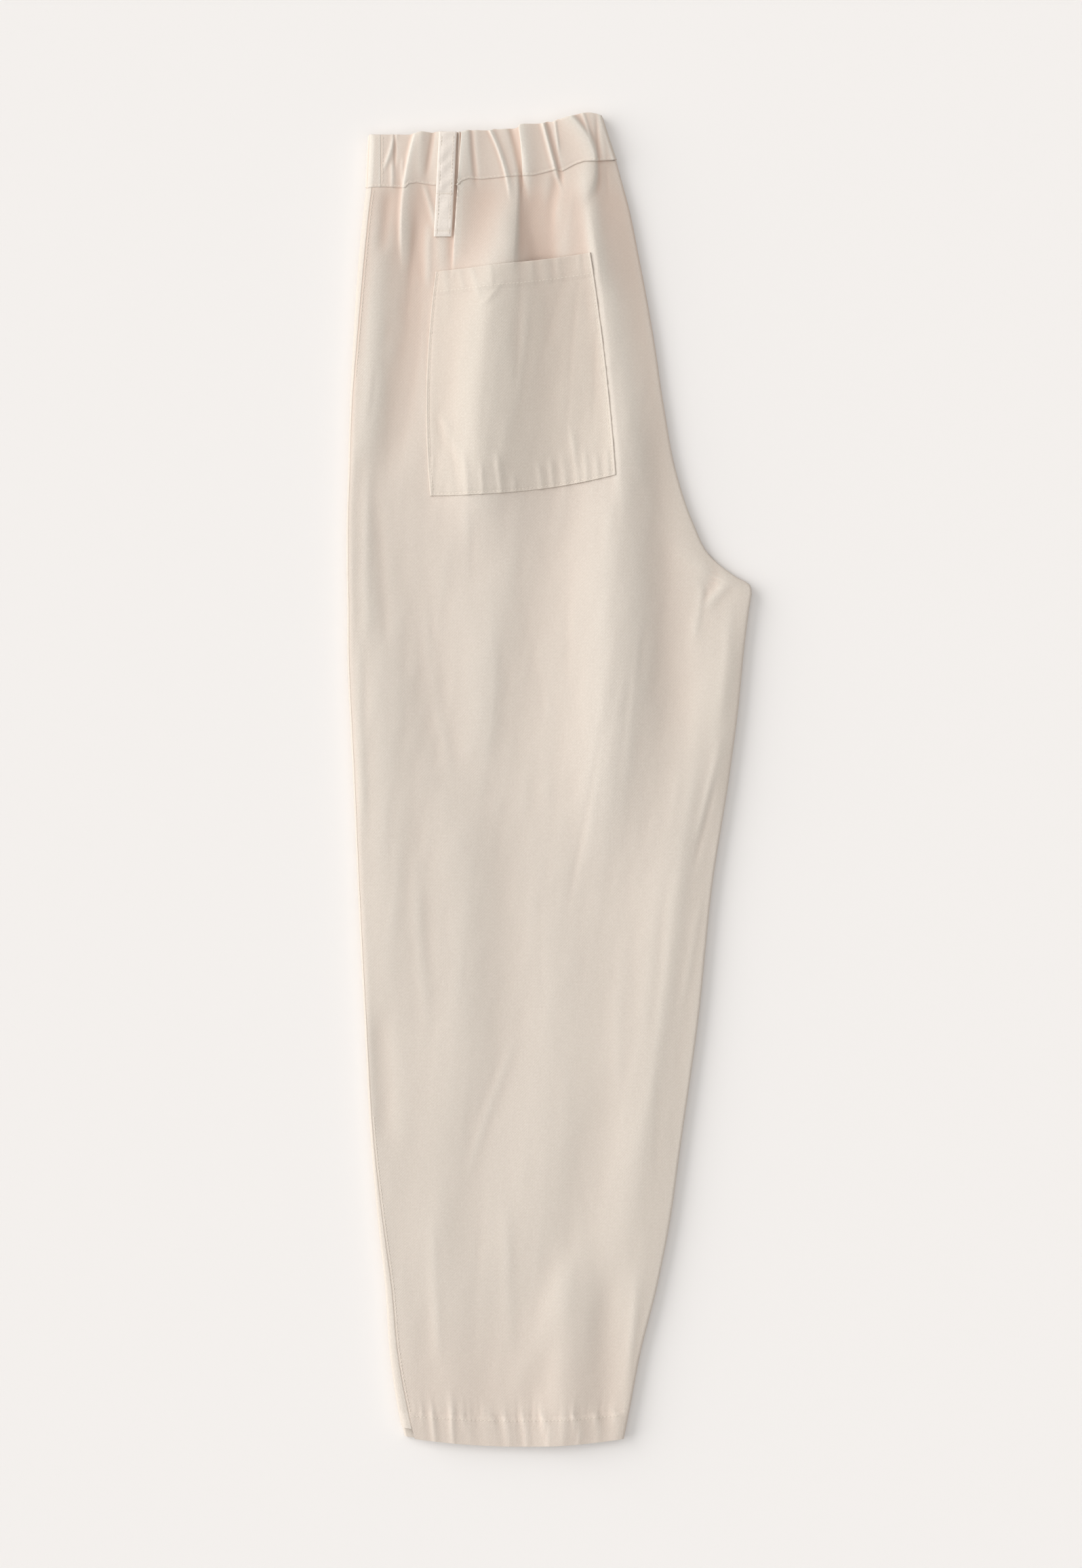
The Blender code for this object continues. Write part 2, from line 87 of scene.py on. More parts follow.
# Sections across the leg, from the waist seam to the hem: left and right edges, each with its
# distance down, sag of the row's middle, side seam's distance in from the left edge, height of
# the crown and width of the right edge's rounding
Section = namedtuple("Section", "left left_down right right_down sag seam crown fall")
SECTIONS = [
    Section(-138.5, 54.9, 50.6, 34.8, 5.7, 4.6, 10.3, 30),
    Section(-140.6, 72.6, 59.7, 68.5, 3, 4.6, 10.3, 32),
    Section(-144.2, 108.7, 68, 108.7, 0, 4.6, 10.2, 34),
    Section(-148.3, 170.5, 79.3, 170.5, 0, 3.2, 10, 34),
    Section(-150.9, 222, 87, 222, 0, 1.8, 9.8, 32),
    Section(-152.4, 273.5, 96.8, 273.5, 0, 1.6, 9.7, 30),
    Section(-153.5, 312.1, 109.2, 310.5, 0, 1.6, 9.6, 27),
    Section(-153.5, 337.8, 121.5, 334.8, 0, 1.6, 9.6, 23),
    Section(-153.5, 354.8, 132.9, 345.1, 0, 1.6, 9.6, 19),
    Section(-153, 368.7, 144.2, 352.8, 0, 1.6, 9.6, 16),
    Section(-153, 379, 151.4, 356.4, 0, 1.6, 9.6, 14),
    Section(-153, 389.3, 153.5, 361.5, 0, 1.6, 9.6, 14),
    Section(-153, 404.8, 151.9, 373.9, 0, 1.6, 9.6, 14),
    Section(-152.4, 428, 148.3, 402.2, 0, 1.6, 9.6, 15),
    Section(-150.9, 458.9, 143.7, 448.6, 0, 1.6, 9.5, 16),
    Section(-148.8, 500.1, 137, 500.1, 0, 1.6, 9.5, 16),
    Section(-145.2, 582.5, 124.1, 582.5, 0, 1.6, 9.4, 16),
    Section(-140.1, 685.5, 113.3, 685.5, 0, 1.8, 9.4, 16),
    Section(-134.4, 788.5, 98.9, 788.5, 0, 2.6, 9.4, 15),
    Section(-129.8, 840, 91.7, 840, 0, 4, 9.4, 14),
    Section(-124.1, 891.5, 81.4, 891.5, 0, 5.2, 9.4, 13),
    Section(-120.5, 943, 68.5, 943, 0.8, 6.4, 9.4, 12),
    Section(-114.3, 984.2, 60.8, 984.2, 4.6, 8, 9.4, 12),
    Section(-110.2, 1003.2, 56.6, 1004.8, 6.4, 8.4, 9.4, 12),
]
KNOTS = np.array([(row.left_down + row.right_down) / 2 for row in SECTIONS])
LAST_KNOT = KNOTS[-1]
HEM_LINE = LAST_KNOT - HEM_DEEP

# The band's upper edge and the seam below it, which steps where a gather overlaps the next
Place = namedtuple("Place", "x down")
BAND_TOP = [
    Place(-136.5, 16),
    Place(-101, 16.3),
    Place(-97, 15),
    Place(-70, 14.5),
    Place(-64, 15.4),
    Place(-59, 13.8),
    Place(-46, 13.2),
    Place(-31, 11.4),
    Place(-23, 9.8),
    Place(-5, 7.6),
    Place(4, 5.8),
    Place(13, 3.2),
    Place(25, 1),
    Place(36, 0),
    Place(40, 1.8),
]
WAIST_SEAM = [
    Place(-138.5, 56.4),
    Place(-124, 56.2),
    Place(-108.4, 57),
    Place(-105.8, 54),
    Place(-100, 53),
    Place(-88, 55),
    Place(-67, 54.8),
    Place(-65.2, 52.4),
    Place(-59.7, 50),
    Place(-50.5, 50.4),
    Place(-34, 48.6),
    Place(-23, 47.6),
    Place(-12, 47.6),
    Place(4.6, 43.2),
    Place(10, 44.2),
    Place(19.5, 39.2),
    Place(26, 37),
    Place(36, 36.4),
    Place(50.6, 34.8),
]

# Ridges (height above 0) and troughs (below 0). Each line runs from start to end through x at its
# top, middle and end, and fades out at both. lean above 0 makes the right flank the wider one, and
# push moves the ridge's cloth sideways over its neighbour.
Fold = namedtuple("Fold", "x_top x_middle x_end start end width height lean push", defaults=(0, 0))
GATHERS = [
    Fold(-116.6, -116.9, -116.5, -5, 46, 1.1, -1.1),
    Fold(-114, -119, -127, 4, 48, 1.9, 0.9),
    Fold(-119.2, -118.6, -119, 36, 60, 1.8, 0.8),
    Fold(-110.4, -111.2, -110.6, 32, 60, 1.5, 0.6),
    Fold(-88, -108.5, -109, -20, 124, 5.5, 2.5, 0.6, -0.5),
    Fold(-84, -89, -93.5, -6, 52, 2, -1),
    Fold(-93, -96.5, -97, -5, 60, 3.6, 0.8),
    Fold(-80.5, -81.5, -82.5, -34, 140, 7.5, 2),
    Fold(-71, -71.6, -72, -20, 100, 1.3, -0.5),
    Fold(-67.6, -68.1, -68.6, -25, 74, 1, 1.5),
    Fold(-61, -67, -73, -35, 132, 7, 3.6, 0.82, -1.6),
    Fold(-58.5, -57, -54, -12, 62, 2, -1.2),
    Fold(-62, -39, -30, -15, 70, 1.8, 1.8, 0.5),
    Fold(-42, -24, -19, -20, 75, 3.2, -2.2),
    Fold(-28, -20.5, -19, -25, 72, 5, 2.8, 0.8, -1),
    Fold(-24, -25.5, -29, 32, 128, 7.5, 2, -0.6, 0.5),
    Fold(8, 3, -3, 38, 92, 4.5, -1.5),
    Fold(-10, -0.5, 10, -14, 62, 1.6, 1.8, -0.1),
    Fold(-7, 3, 12, -14, 60, 1.4, -1.1),
    Fold(2, 5, 8, -8, 34, 1.2, 0.8),
    Fold(-22, 31, 20, -25, 75, 8, 3.3, -0.5, 0.5),
    Fold(31, 33, 37, 28, 150, 12, 2.6, -0.2),
    Fold(21, 28, 33, -10, 26, 1.6, 0.8),
    Fold(38, 41, 44, -8, 52, 1.8, 0.6),
    Fold(35.5, 37, 38.5, -8, 62, 1.6, -0.8),
    Fold(43, 44, 44.5, 30, 62, 1.5, -0.5),
    Fold(36, 36.5, 37, 30, 66, 1.7, -0.4),
    Fold(-121, -124, -127, 54, 112, 5, -1.2),
    Fold(-95.5, -90, -84, 50, 92, 2.2, 1),
    Fold(-91, -91.5, -92, 78, 138, 3, 0.9),
    Fold(-99, -101.5, -104, 66, 185, 4.2, -1.8),
]
# Hollows between the gathers and the pocket, which the pocket's mouth spans
HOLLOWS = [
    Fold(-14, -5, 2, 34, 165, 14, -3.6, -0.1),
    Fold(-12, -9, -7, 62, 150, 15, -4.4),
]
DRAPES = [
    Fold(-26, -48.5, -50, 44, 350, 31, 12, 0.22),
    Fold(8, 6, 0, 110, 330, 18, -1),
    Fold(26, 46, 58, 40, 320, 17, 4.6, 0.6),
    Fold(52, 49, 42, 195, 600, 31, 8.4, 0.15),
    Fold(82, 91, 98, 215, 515, 18, -3.8),
    Fold(150, 142, 128, 370, 560, 22, 2.2),
    Fold(-128, -132, -142, 30, 300, 11, 2.4),
    Fold(-127, -123, -114, 340, 720, 21, 2.5, 0.15),
    Fold(-98, -104, -128, 60, 300, 13, -2.8),
    Fold(-120, -88, -50, 275, 560, 22, -1.9),
    Fold(-26, -45, -62, 270, 540, 20, 1.8),
    Fold(2, -16, -38, 275, 550, 20, -1.6),
    Fold(-74, -66, -66, 470, 780, 24, 2.4),
    Fold(-32, -27, -34, 480, 760, 24, -1.7),
    Fold(-127, -126, -122, 670, 790, 9, -1.8),
    Fold(24, 12, 6, 850, 1060, 17, 3.2, 0.1),
    Fold(46, 44, 43, 860, 1030, 11, -2),
    Fold(30, 0, -35, 840, 990, 12, 1.2),
    Fold(-80, -76, -70, 800, 1030, 18, 1.4),
    Fold(-64, -80, -98, 690, 900, 20, 0.9),
    Fold(-34, -54, -76, 700, 900, 18, -0.9),
    Fold(22, -4, -30, 690, 910, 24, 0.9),
    Fold(50, 30, 6, 710, 930, 20, -0.8),
    Fold(-110, -104, -98, 880, 1010, 12, 0.9),
    Fold(126, 87, 50, 360, 940, 18, 3, -0.25),
    Fold(0, 5, 8, 560, 900, 30, 1.2),
]
# Short creases, as the crotch's tuck and those that fan out from it
CREASES = [
    Fold(130.5, 127.5, 124, 322, 366, 2.6, -2.2),
    Fold(140, 128, 112, 348, 380, 4, 1),
    Fold(134, 124, 116, 338, 372, 2.6, -0.6),
    Fold(118, 114, 108, 352, 402, 3, 0.6),
    Fold(122, 119, 112, 344, 390, 4, -0.7),
    Fold(138, 134, 128, 366, 470, 5, 0.6),
    Fold(132, 121, 109, 468, 560, 3.2, 0.6),
    Fold(128, 118, 108, 498, 580, 2.6, -0.5),
    Fold(118, 109, 101, 585, 680, 3.2, 0.5),
    Fold(-136, -138, -137, 250, 420, 4.5, 0.7),
    Fold(-128, -126, -121, 290, 420, 5, -0.7),
    Fold(-144, -143, -139, 380, 560, 3.5, 0.6),
    Fold(-95, -86, -70, 350, 520, 5, 0.6),
    Fold(-20, -46, -66, 690, 820, 3.2, 0.5, 0.3),
    Fold(60, 54, 52, 600, 760, 6, 0.5),
    Fold(90, 84, 76, 560, 720, 5, -0.5),
    Fold(-100, -97, -90, 560, 700, 5, 0.5),
    Fold(-88, -86, -82, 830, 960, 4.5, 0.5),
    Fold(66, 63, 60, 860, 1000, 4, 0.7),
    Fold(-34, -30, -28, 820, 960, 5, 0.4),
]

# The share of a fold's length over which it fades, and the seeded folds and drifts
FADE_SHARE = 0.3
LATTICE = 160
KNEE_DOWN = 480
STREAKS = 64
STREAK_SEED = 11
HEM_PUCKERS = 25
HEM_SEED = 5
CRUMPLE_SEED = 23
RIPPLE_SEED = 71
LOOP_SEED = 83

# Corners of the patch pocket, and how far its edges bow out
POCKET_TOP_LEFT = Place(-86.0, 120.5)
POCKET_TOP_RIGHT = Place(31.0, 106.5)
POCKET_LOW_LEFT = Place(-90.2, 290.5)
POCKET_LOW_RIGHT = Place(50.4, 275.0)
POCKET_WIDE = POCKET_TOP_RIGHT.x - POCKET_TOP_LEFT.x
POCKET_DEEP = POCKET_LOW_LEFT.down - POCKET_TOP_LEFT.down
POCKET_LEFT_BOW = 5.0
POCKET_LOW_BOW = 4.5
POCKET_RIGHT_BOW = 2.0
POCKET_TOP_BOW = 1.4
POCKET_HEM = 17.0
POCKET_HEM_STEP = 0.5
POCKET_LIFT = 1.1
POCKET_MOUTH = 1.1
# Puckers of the pocket: from its lower edge up, and in its upper hem
POCKET_PUCKERS = [
    Fold(-88, -88.6, -89, 255, 300, 1.2, 0.8),
    Fold(-86, -82, -77, 222, 262, 3, -0.6),
    Fold(-82, -74, -66, 224, 268, 3.4, 0.7),
    Fold(-76, -71, -68, 236, 300, 3, -0.8),
    Fold(-66, -63, -61, 250, 302, 2.4, 1.2, 0.3),
    Fold(-52, -50.6, -50, 262, 304, 2.2, 1, 0.3),
    Fold(-41, -37.5, -36, 254, 304, 2.6, 1.3, 0.4),
    Fold(-27, -26, -25.5, 270, 304, 2.4, 0.7),
    Fold(-9, -6, -5, 262, 302, 2.8, 1, 0.3),
    Fold(0, 2.5, 4, 258, 302, 2.4, 1.1, 0.3),
    Fold(9, 12, 14, 252, 300, 2.6, 0.9),
    Fold(15, 20, 23, 232, 298, 3, 1.2, 0.4),
    Fold(26, 28, 29.5, 250, 296, 2.4, 1.2, 0.2),
    Fold(35, 37, 39, 256, 294, 2.2, 0.9),
    Fold(43, 44.5, 46, 250, 290, 2, 0.8),
    Fold(-80, -78, -77, 114, 142, 2.2, 0.4, -0.2),
    Fold(-70, -66.5, -64, 112, 138, 2.4, 0.5, -0.2),
    Fold(-60, -55.5, -52, 114, 144, 2.6, 0.7, -0.2),
    Fold(-46, -43.5, -42, 110, 138, 2.2, 0.45, -0.2),
    Fold(-34, -42, -54, 126, 150, 2.6, 0.6),
    Fold(-14, -13, -12, 104, 136, 2.6, 0.5),
    Fold(6, 7, 8, 100, 134, 2.6, 0.5),
    Fold(22, 23, 24, 98, 130, 2.2, 0.5),
]

# The strap of the belt loop, and where its two tacks cross it
LOOP_TOP = Place(-76.7, 16.4)
LOOP_END = Place(-80.6, 94.2)
LOOP_WIDE = 13.6
LOOP_THICK = 1.2
LOOP_RADIUS = 1.9
LOOP_TACKS = (61.8, 90.1)

# Thicknesses, and rows and columns of the surfaces
CLOTH = 1.0
BAND_THICK = 1.8
LEG_ROWS = 196
LEG_COLUMNS = 226
UNDER_COLUMNS = 26
BAND_ROWS = 34
BAND_COLUMNS = 330
POCKET_ROWS = 120
POCKET_COLUMNS = 112
LOOP_ROWS = 70
LOOP_COLUMNS = 17
# An edge's arc, in steps of 18 degrees
QUARTER_TURN = np.radians(np.arange(6) * 18.0)

# Stitches
STITCH_PITCH = 2.9
STITCH_LENGTH = 2.3
STITCH_WIDE = 0.52
TACK_PITCH = 1.5
# The ribs' direction, 30 degrees off the cloth's width, and floats for each rib
RIB_ACROSS, RIB_ALONG = 0.866, 0.5
FLOATS = 1.7

# The photo's frame: its size in pixels, its scale and the pixel over the origin
PHOTO_WIDE, PHOTO_HIGH = 1596, 2313
PHOTO_SCALE = 0.515
ORIGIN_PIXEL = Place(810.0, 1150.0)
LENS = 100.0
SENSOR = 36.0
# How far the floor lies below the cloth, so that the two don't coincide
FLOOR_GAP = 0.1
FLOOR_HALF = 6.0
KEY_TURN = (-14, -69, 0)
TOP_TURN = (0, 8, 0)


def colour_property(name, description, default):
    return bpy.props.FloatVectorProperty(
        name=name, description=description, default=default, size=3, subtype="COLOR"
    )


def strength_property(name, description, default=1.0, **limits):
    return bpy.props.FloatProperty(
        name=name, description=description, default=default, min=0.0, **limits
    )


class TrousersSettings(bpy.types.PropertyGroup):
    """Sizes, strengths and colours of the cloth"""

    cloth_thickness: bpy.props.FloatProperty(
        name="Cloth thickness",
        description="Thickness of one layer of the legs' cloth",
        default=CLOTH * MM,
        unit="LENGTH",
    )
    twill_pitch: bpy.props.FloatProperty(
        name="Twill pitch",
        description="Distance between two diagonal ribs of the twill",
        default=1.05 * MM,
        unit="LENGTH",
    )
    wrinkles: strength_property(
        "Wrinkles", "Strength of the soft crumple between the folds", max=3.0, subtype="FACTOR"
    )
    puckers: strength_property(
        "Puckers", "Strength of the small folds along the sewn edges", max=3.0, subtype="FACTOR"
    )
    leg_colour: colour_property("Legs", "Colour of the legs' twill", (0.7, 0.625, 0.545))
    band_colour: colour_property("Waistband", "Colour of the band's twill", (0.755, 0.688, 0.606))
    pocket_colour: colour_property("Pocket", "Colour of the pocket's twill", (0.685, 0.609, 0.524))
    loop_colour: colour_property("Belt loop", "Colour of the loop's twill", (0.815, 0.733, 0.655))
    # Painted shade: the colour that the cloth is tinted towards in the hollows of its folds
    fold_shade_colour: colour_property("Fold tint", "Colour of the cloth deep in its folds", (0.65, 0.485, 0.395))
    thread_colour: colour_property("Thread", "Colour of the sewing thread", (0.79, 0.7, 0.595))


class StageSettings(bpy.types.PropertyGroup):
    """Floor and lights"""

    floor_colour: colour_property("Floor", "Colour of the plain floor", (0.875, 0.844, 0.818))
    key_strength: strength_property("Key light", "Strength of the wide light from the left", 3.4)
    key_spread: bpy.props.FloatProperty(
        name="Key spread",
        description="Angle that the key light covers in the sky",
        default=math.radians(66),
        subtype="ANGLE",
    )
    top_strength: strength_property("Top light", "Strength of the soft light from above", 1.1)
    sky_strength: strength_property("Sky", "Strength of the even light from all round", 0.3)


def follow(knots, values, at):
    """A smooth curve through the values at the knots, read at other places (cubic Hermite)."""
    knots = np.asarray(knots, float)
    values = np.asarray(values, float)
    slopes = np.gradient(values, knots, axis=0)
    at = np.clip(at, knots[0], knots[-1])
    first = np.clip(np.searchsorted(knots, at, side="right") - 1, 0, len(knots) - 2)
    span = (knots[first + 1] - knots[first])[..., None]
    share = (at - knots[first])[..., None] / span
    near, far = values[first], values[first + 1]
    bend = 3 * share**2 - 2 * share**3
    leave = (share - 2 * share**2 + share**3) * span * slopes[first]
    arrive = (share**3 - share**2) * span * slopes[first + 1]
    return near + (far - near) * bend + leave + arrive


def line_through(places, x):
    """Distance down, at each x, of the line through the places."""
    table = np.asarray(places, float)
    return np.interp(x, table[:, 0], table[:, 1])


def smoothstep(share):
    """An eased share: 3 s^2 - 2 s^3 from 0 to 1, and level beyond them."""
    share = np.clip(share, 0, 1)
    return share**2 * (3 - 2 * share)


def bump(distance, width):
    """A bell curve: 1 in its middle, and 1/e at this width from it."""
    return np.exp(-((distance / width) ** 2))


def arch(share):
    """A parabola: 0 at both ends and 1 in the middle."""
    return 4 * share * (1 - share)


def between(first, last, share):
    """The value at a share of the way from the first to the last."""
    return first + (last - first) * share


def bells(folds, x, down):
    """Height and sideways push of the folds.

    Each fold is a bell curve across its line, a parabola through its three places, and fades out
    at both ends.
    """
    height = np.zeros(np.broadcast(x, down).shape)
    push = np.zeros_like(height)
    for fold in folds:
        along = np.clip((down - fold.start) / (fold.end - fold.start), 0, 1)
        line = (
            fold.x_top * (1 - along) * (1 - 2 * along)
            + fold.x_middle * 4 * along * (1 - along)
            + fold.x_end * along * (2 * along - 1)
        )
        away = x - line
        fade = smoothstep(along / FADE_SHARE) * smoothstep((1 - along) / FADE_SHARE)
        bell = fade * bump(away, fold.width * (1 + fold.lean * np.sign(away)))
        height += fold.height * bell
        push += fold.push * bell
    return height, push


def drift(x, y, wide, high, seed):
    """Smooth noise from -1 to 1: a seeded value at each corner of a lattice, eased between them."""
    corners = np.random.default_rng(seed).uniform(-1, 1, (LATTICE, LATTICE))
    across, along = np.broadcast_arrays(x / wide, y / high)
    i, j = np.floor(across).astype(int), np.floor(along).astype(int)
    s, t = smoothstep(across - i), smoothstep(along - j)
    i, far, j, up = i % LATTICE, (i + 1) % LATTICE, j % LATTICE, (j + 1) % LATTICE
    low = corners[i, j] * (1 - s) + corners[far, j] * s
    top = corners[i, up] * (1 - s) + corners[far, up] * s
    return low * (1 - t) + top * t


def crumple(x, down):
    """Soft creases along the legs: the sum of four drifts, one of them turned sharp at its tops.

    The first three lie on a slanted and slowly bending line, and the last is a fine mottle.
    """
    slant = x + 0.12 * down
    bend = slant + 7 * drift(x, down, 60, 90, CRUMPLE_SEED)
    broad = drift(bend, down, 26, 120, CRUMPLE_SEED + 1)
    sharp = 1 - np.abs(drift(bend, down, 17, 74, CRUMPLE_SEED + 2)) * 2
    fine = drift(bend, down, 7, 34, CRUMPLE_SEED + 3)
    mottle = drift(x, down, 10, 15, CRUMPLE_SEED + 4)
    return 0.32 * broad + 0.13 * sharp + 0.1 * fine + 0.15 * mottle


def streak_folds():
    """Thin seeded ridges and troughs along the legs, uneven in length, depth and spacing."""
    random = np.random.default_rng(STREAK_SEED)
    folds = []
    for _ in range(STREAKS):
        start, length = random.uniform(40, 900), random.uniform(50, 190)
        x, slope, bow = random.uniform(-150, 130), random.normal(-0.04, 0.09), random.normal(0, 2.5)
        width = random.uniform(2.2, 5.5)
        height = random.choice([-1, 1]) * random.uniform(0.06, 0.26)
        if start >= KNEE_DOWN:
            height *= 0.6
        middle = x + slope * length / 2 + bow
        lean = random.uniform(-0.4, 0.4)
        folds.append(Fold(x, middle, x + slope * length, start, start + length, width, height, lean))
    return folds


def hem_folds():
    """Seeded puckers that slant across the turned hem, a strong one after each weak one."""
    random = np.random.default_rng(HEM_SEED)
    folds = []
    for number, x in enumerate(np.linspace(-110, 58, HEM_PUCKERS)):
        x += random.uniform(-2, 2)
        slant = random.uniform(-2, 7)
        top = HEM_LINE - random.uniform(2, 14)
        height = random.uniform(0.6, 1.3) if number % 2 else random.uniform(0.1, 0.4)
        width = random.uniform(2.6, 5.0)
        folds.append(Fold(x - slant, x, x + slant, top, LAST_KNOT + 8, width, height, 0.2))
    return folds


ALL_FOLDS = GATHERS + HOLLOWS + DRAPES + CREASES + streak_folds() + hem_folds()


def relief(x, down):
    """Height and push of everything that shapes the upper side, the pocket's own puckers apart.

    The folds' bells are summed, and the crumple comes on top: weak at the waist, full on the
    thigh and weaker again below the knee.
    """
    height, push = bells(ALL_FOLDS, x, down)
    calm = 0.35 + 0.65 * smoothstep((down - 60) / 80)
    calm = calm * (1 - 0.4 * smoothstep((down - 520) / 150))
    return height + settings().wrinkles * calm * crumple(x, down), push


def rounding(distance, radius):
    """The rise of a quarter circle, from 0 at the edge to 1 at one radius inside it."""
    inside = np.clip(distance / radius, 0, 1)
    return np.sqrt(1 - (1 - inside) ** 2)


def swell(distance, width):
    """The rise of a sine's first quarter, from 0 at the edge to 1 at this width inside it."""
    return np.sin(np.pi / 2 * np.clip(distance / width, 0, 1))


def edge_shares(x, left, right, radius, fall):
    """Shares of the rise from both edges: that of their small arcs, and of the swell behind them."""
    tip = rounding(right - x, radius) * rounding(x - left, radius)
    return tip, swell(right - x, fall) * swell(x - left, LEFT_SWELL)


def section_at(place):
    """The leg's section at each mean distance down."""
    return Section(*np.moveaxis(follow(KNOTS, SECTIONS, place), -1, 0))


def section_line(row, x):
    """Distance down of a section at each x: a straight line that sags in its middle."""
    share = (x - row.left) / (row.right - row.left)
    return between(row.left_down, row.right_down, share) + row.sag * arch(share)


def row_down(place, x):
    """Distance down at each x of the row of the leg that has this mean distance down.

    The rows by the waist take on the steps of the waist seam.
    """
    near_seam = 1 - smoothstep((place - KNOTS[0]) / 30)
    steps = line_through(WAIST_SEAM, x) - section_line(SECTIONS[0], x)
    return section_line(section_at(place), x) + near_seam * steps


def row_through(x, down):
    """The mean distance down of the row that passes through each place."""
    place = np.array(np.broadcast_to(down, np.broadcast(x, down).shape), float)
    for _ in range(6):
        place = place + down - row_down(place, x)
    return np.clip(place, KNOTS[0], LAST_KNOT)


def leg_top(x, down, place=None):
    """The upper leg's upper side at each place, in millimetres.

    It rises round a small arc at each edge, swells to the crown, and carries the folds, which
    level out softly above the layers below. The hem is one layer of cloth higher, the sewn lines
    are sunk, and the folds' push moves the cloth sideways.
    """
    x, down = np.broadcast_arrays(x, down)
    place = row_through(x, down) if place is None else place
    row = section_at(place)
    low_right = np.where(place < CROTCH_DOWN, WRAP_LOW, UPPER_LEG_MID + LAYER_GAP)
    low = low_right + (UPPER_LEG_MID - low_right) * (row.right - x) / (row.right - row.left)
    height, push = relief(x, down)
    in_hem = place - HEM_LINE
    hem = HEM_STEP * smoothstep((in_hem + 0.8) / 1.6)
    groove = -0.35 * bump(in_hem, 1.1) - 0.5 * np.exp(-(place - KNOTS[0]) / 1.2)
    ruffle = 0.3 * settings().puckers * bump(in_hem + 1, 5) * drift(x, down, 2.6, 14, HEM_SEED)
    above = row.crown + height + hem + groove + ruffle - LOWEST
    full = LOWEST + 0.5 * (above + np.sqrt(above**2 + 1.0)) - low - EDGE_RADIUS
    tip, body = edge_shares(x, row.left, row.right, EDGE_RADIUS, row.fall)
    return np.stack([x + push * body, down, low + EDGE_RADIUS * tip + full * body], axis=-1)


def band_down(share, x, height):
    """Distance down between the band's edges; its upper edge sinks a little between the gathers."""
    top = line_through(BAND_TOP, x) + 0.4 * (1.2 - np.clip(height, -2, 3))
    return between(top, line_through(WAIST_SEAM, x) + 0.7, share)


def band_edges(share):
    """x of the band's left and right end at a share of its depth."""
    return between(*BAND_LEFT, share), between(*BAND_RIGHT, share)


def band_top(x, share):
    """The waistband's upper side at each x and share of its depth, in millimetres.

    Its crown and gathers are rounded at both ends. A sine's arch puffs it in its depth, quarter
    circles round both edges off, and the stitches above the seam are sunk.
    """
    left, right = band_edges(share)
    height, _ = relief(x, 20 + 30 * share)
    down = band_down(share, x, height)
    height, push = relief(x, down)
    to_seam, to_top = (1 - share) * BAND_DEEP, share * BAND_DEEP
    puff = 0.9 * np.sin(np.pi * np.clip(share, 0, 1)) ** 0.6 - 0.4
    rolled = -1.1 * (1 - rounding(to_seam, 1.1)) - 1.0 * (1 - rounding(to_top, 1.4))
    sunk = 0.2 * bump(to_seam - 1.0, 0.6) - 0.35 * bump(to_seam - 2.6, 0.8)
    full = BAND_CROWN + height + puff + rolled + sunk - BAND_LOW - BAND_RADIUS
    tip, body = edge_shares(x, left, right, BAND_RADIUS, BAND_FALL)
    return np.stack([x + push * body, down, BAND_LOW + BAND_RADIUS * tip + full * body], axis=-1)


def band_at(x, down):
    """The band's upper side at a distance down, for what is sewn on it."""
    height, _ = relief(x, down)
    top, seam = (band_down(share, x, height) for share in (0.0, 1.0))
    return band_top(x, (down - top) / (seam - top))


def pocket_place(across, along):
    """x and distance down of the pocket's points: four corners, with all sides bowed as parabolas."""
    left_x = between(POCKET_TOP_LEFT.x, POCKET_LOW_LEFT.x, along) - POCKET_LEFT_BOW * arch(along)
    right_x = between(POCKET_TOP_RIGHT.x, POCKET_LOW_RIGHT.x, along) + POCKET_RIGHT_BOW * arch(along)
    left_down = between(POCKET_TOP_LEFT.down, POCKET_LOW_LEFT.down, along)
    right_down = between(POCKET_TOP_RIGHT.down, POCKET_LOW_RIGHT.down, along)
    sag = between(POCKET_TOP_BOW, POCKET_LOW_BOW, along) * arch(across)
    return between(left_x, right_x, across), between(left_down, right_down, across) + sag


def pocket_top(across, along):
    """The pocket's upper side at shares of its width and depth, in millimetres.

    It is the panel's surface moved up, with a step at its turned hem, sunk stitches, puckers
    along its edges, rolled borders and a mouth that stands off a little and spans the hollows.
    """
    x, down = pocket_place(across, along)
    panel = leg_top(x, down)
    side = np.minimum(across, 1 - across) * POCKET_WIDE
    from_mouth = along * POCKET_DEEP
    border = np.minimum(side, (1 - along) * POCKET_DEEP)
    hem = POCKET_HEM_STEP * (1 - smoothstep((from_mouth - POCKET_HEM + 0.8) / 1.6))
    sunk = 0.25 * bump(border, 1.0) - 0.35 * bump(border - 2.0, 0.9)
    hem_sunk = -0.3 * bump(from_mouth - POCKET_HEM + 1.6, 0.8)
    ripple = 0.65 * settings().puckers * bells(POCKET_PUCKERS, x, down)[0]
    side_ripple = 0.28 * np.exp(-side / 5.0) * drift(x, down, 40, 3.4, RIPPLE_SEED)
    rolled = -(POCKET_LIFT + 0.1) * (1 - rounding(border, 0.9)) - 0.5 * (1 - rounding(from_mouth, 0.8))
    mouth = POCKET_MOUTH * np.exp(-from_mouth / 22) * smoothstep(side / 14)
    spanned = -0.85 * bells(HOLLOWS, x, down)[0]
    panel[..., 2] += POCKET_LIFT + rolled + mouth + hem + sunk + hem_sunk + ripple + side_ripple + spanned
    return panel


def to_points(surface):
    """Millimetres across, down and up made metres, with +Y towards the waist."""
    x, down, height = np.moveaxis(surface, -1, 0)
    return np.stack([x, LENGTH / 2 - down, height], axis=-1) * MM


def unit(vectors):
    """The vectors made one long."""
    return vectors / np.maximum(np.linalg.norm(vectors, axis=-1, keepdims=True), 1e-12)


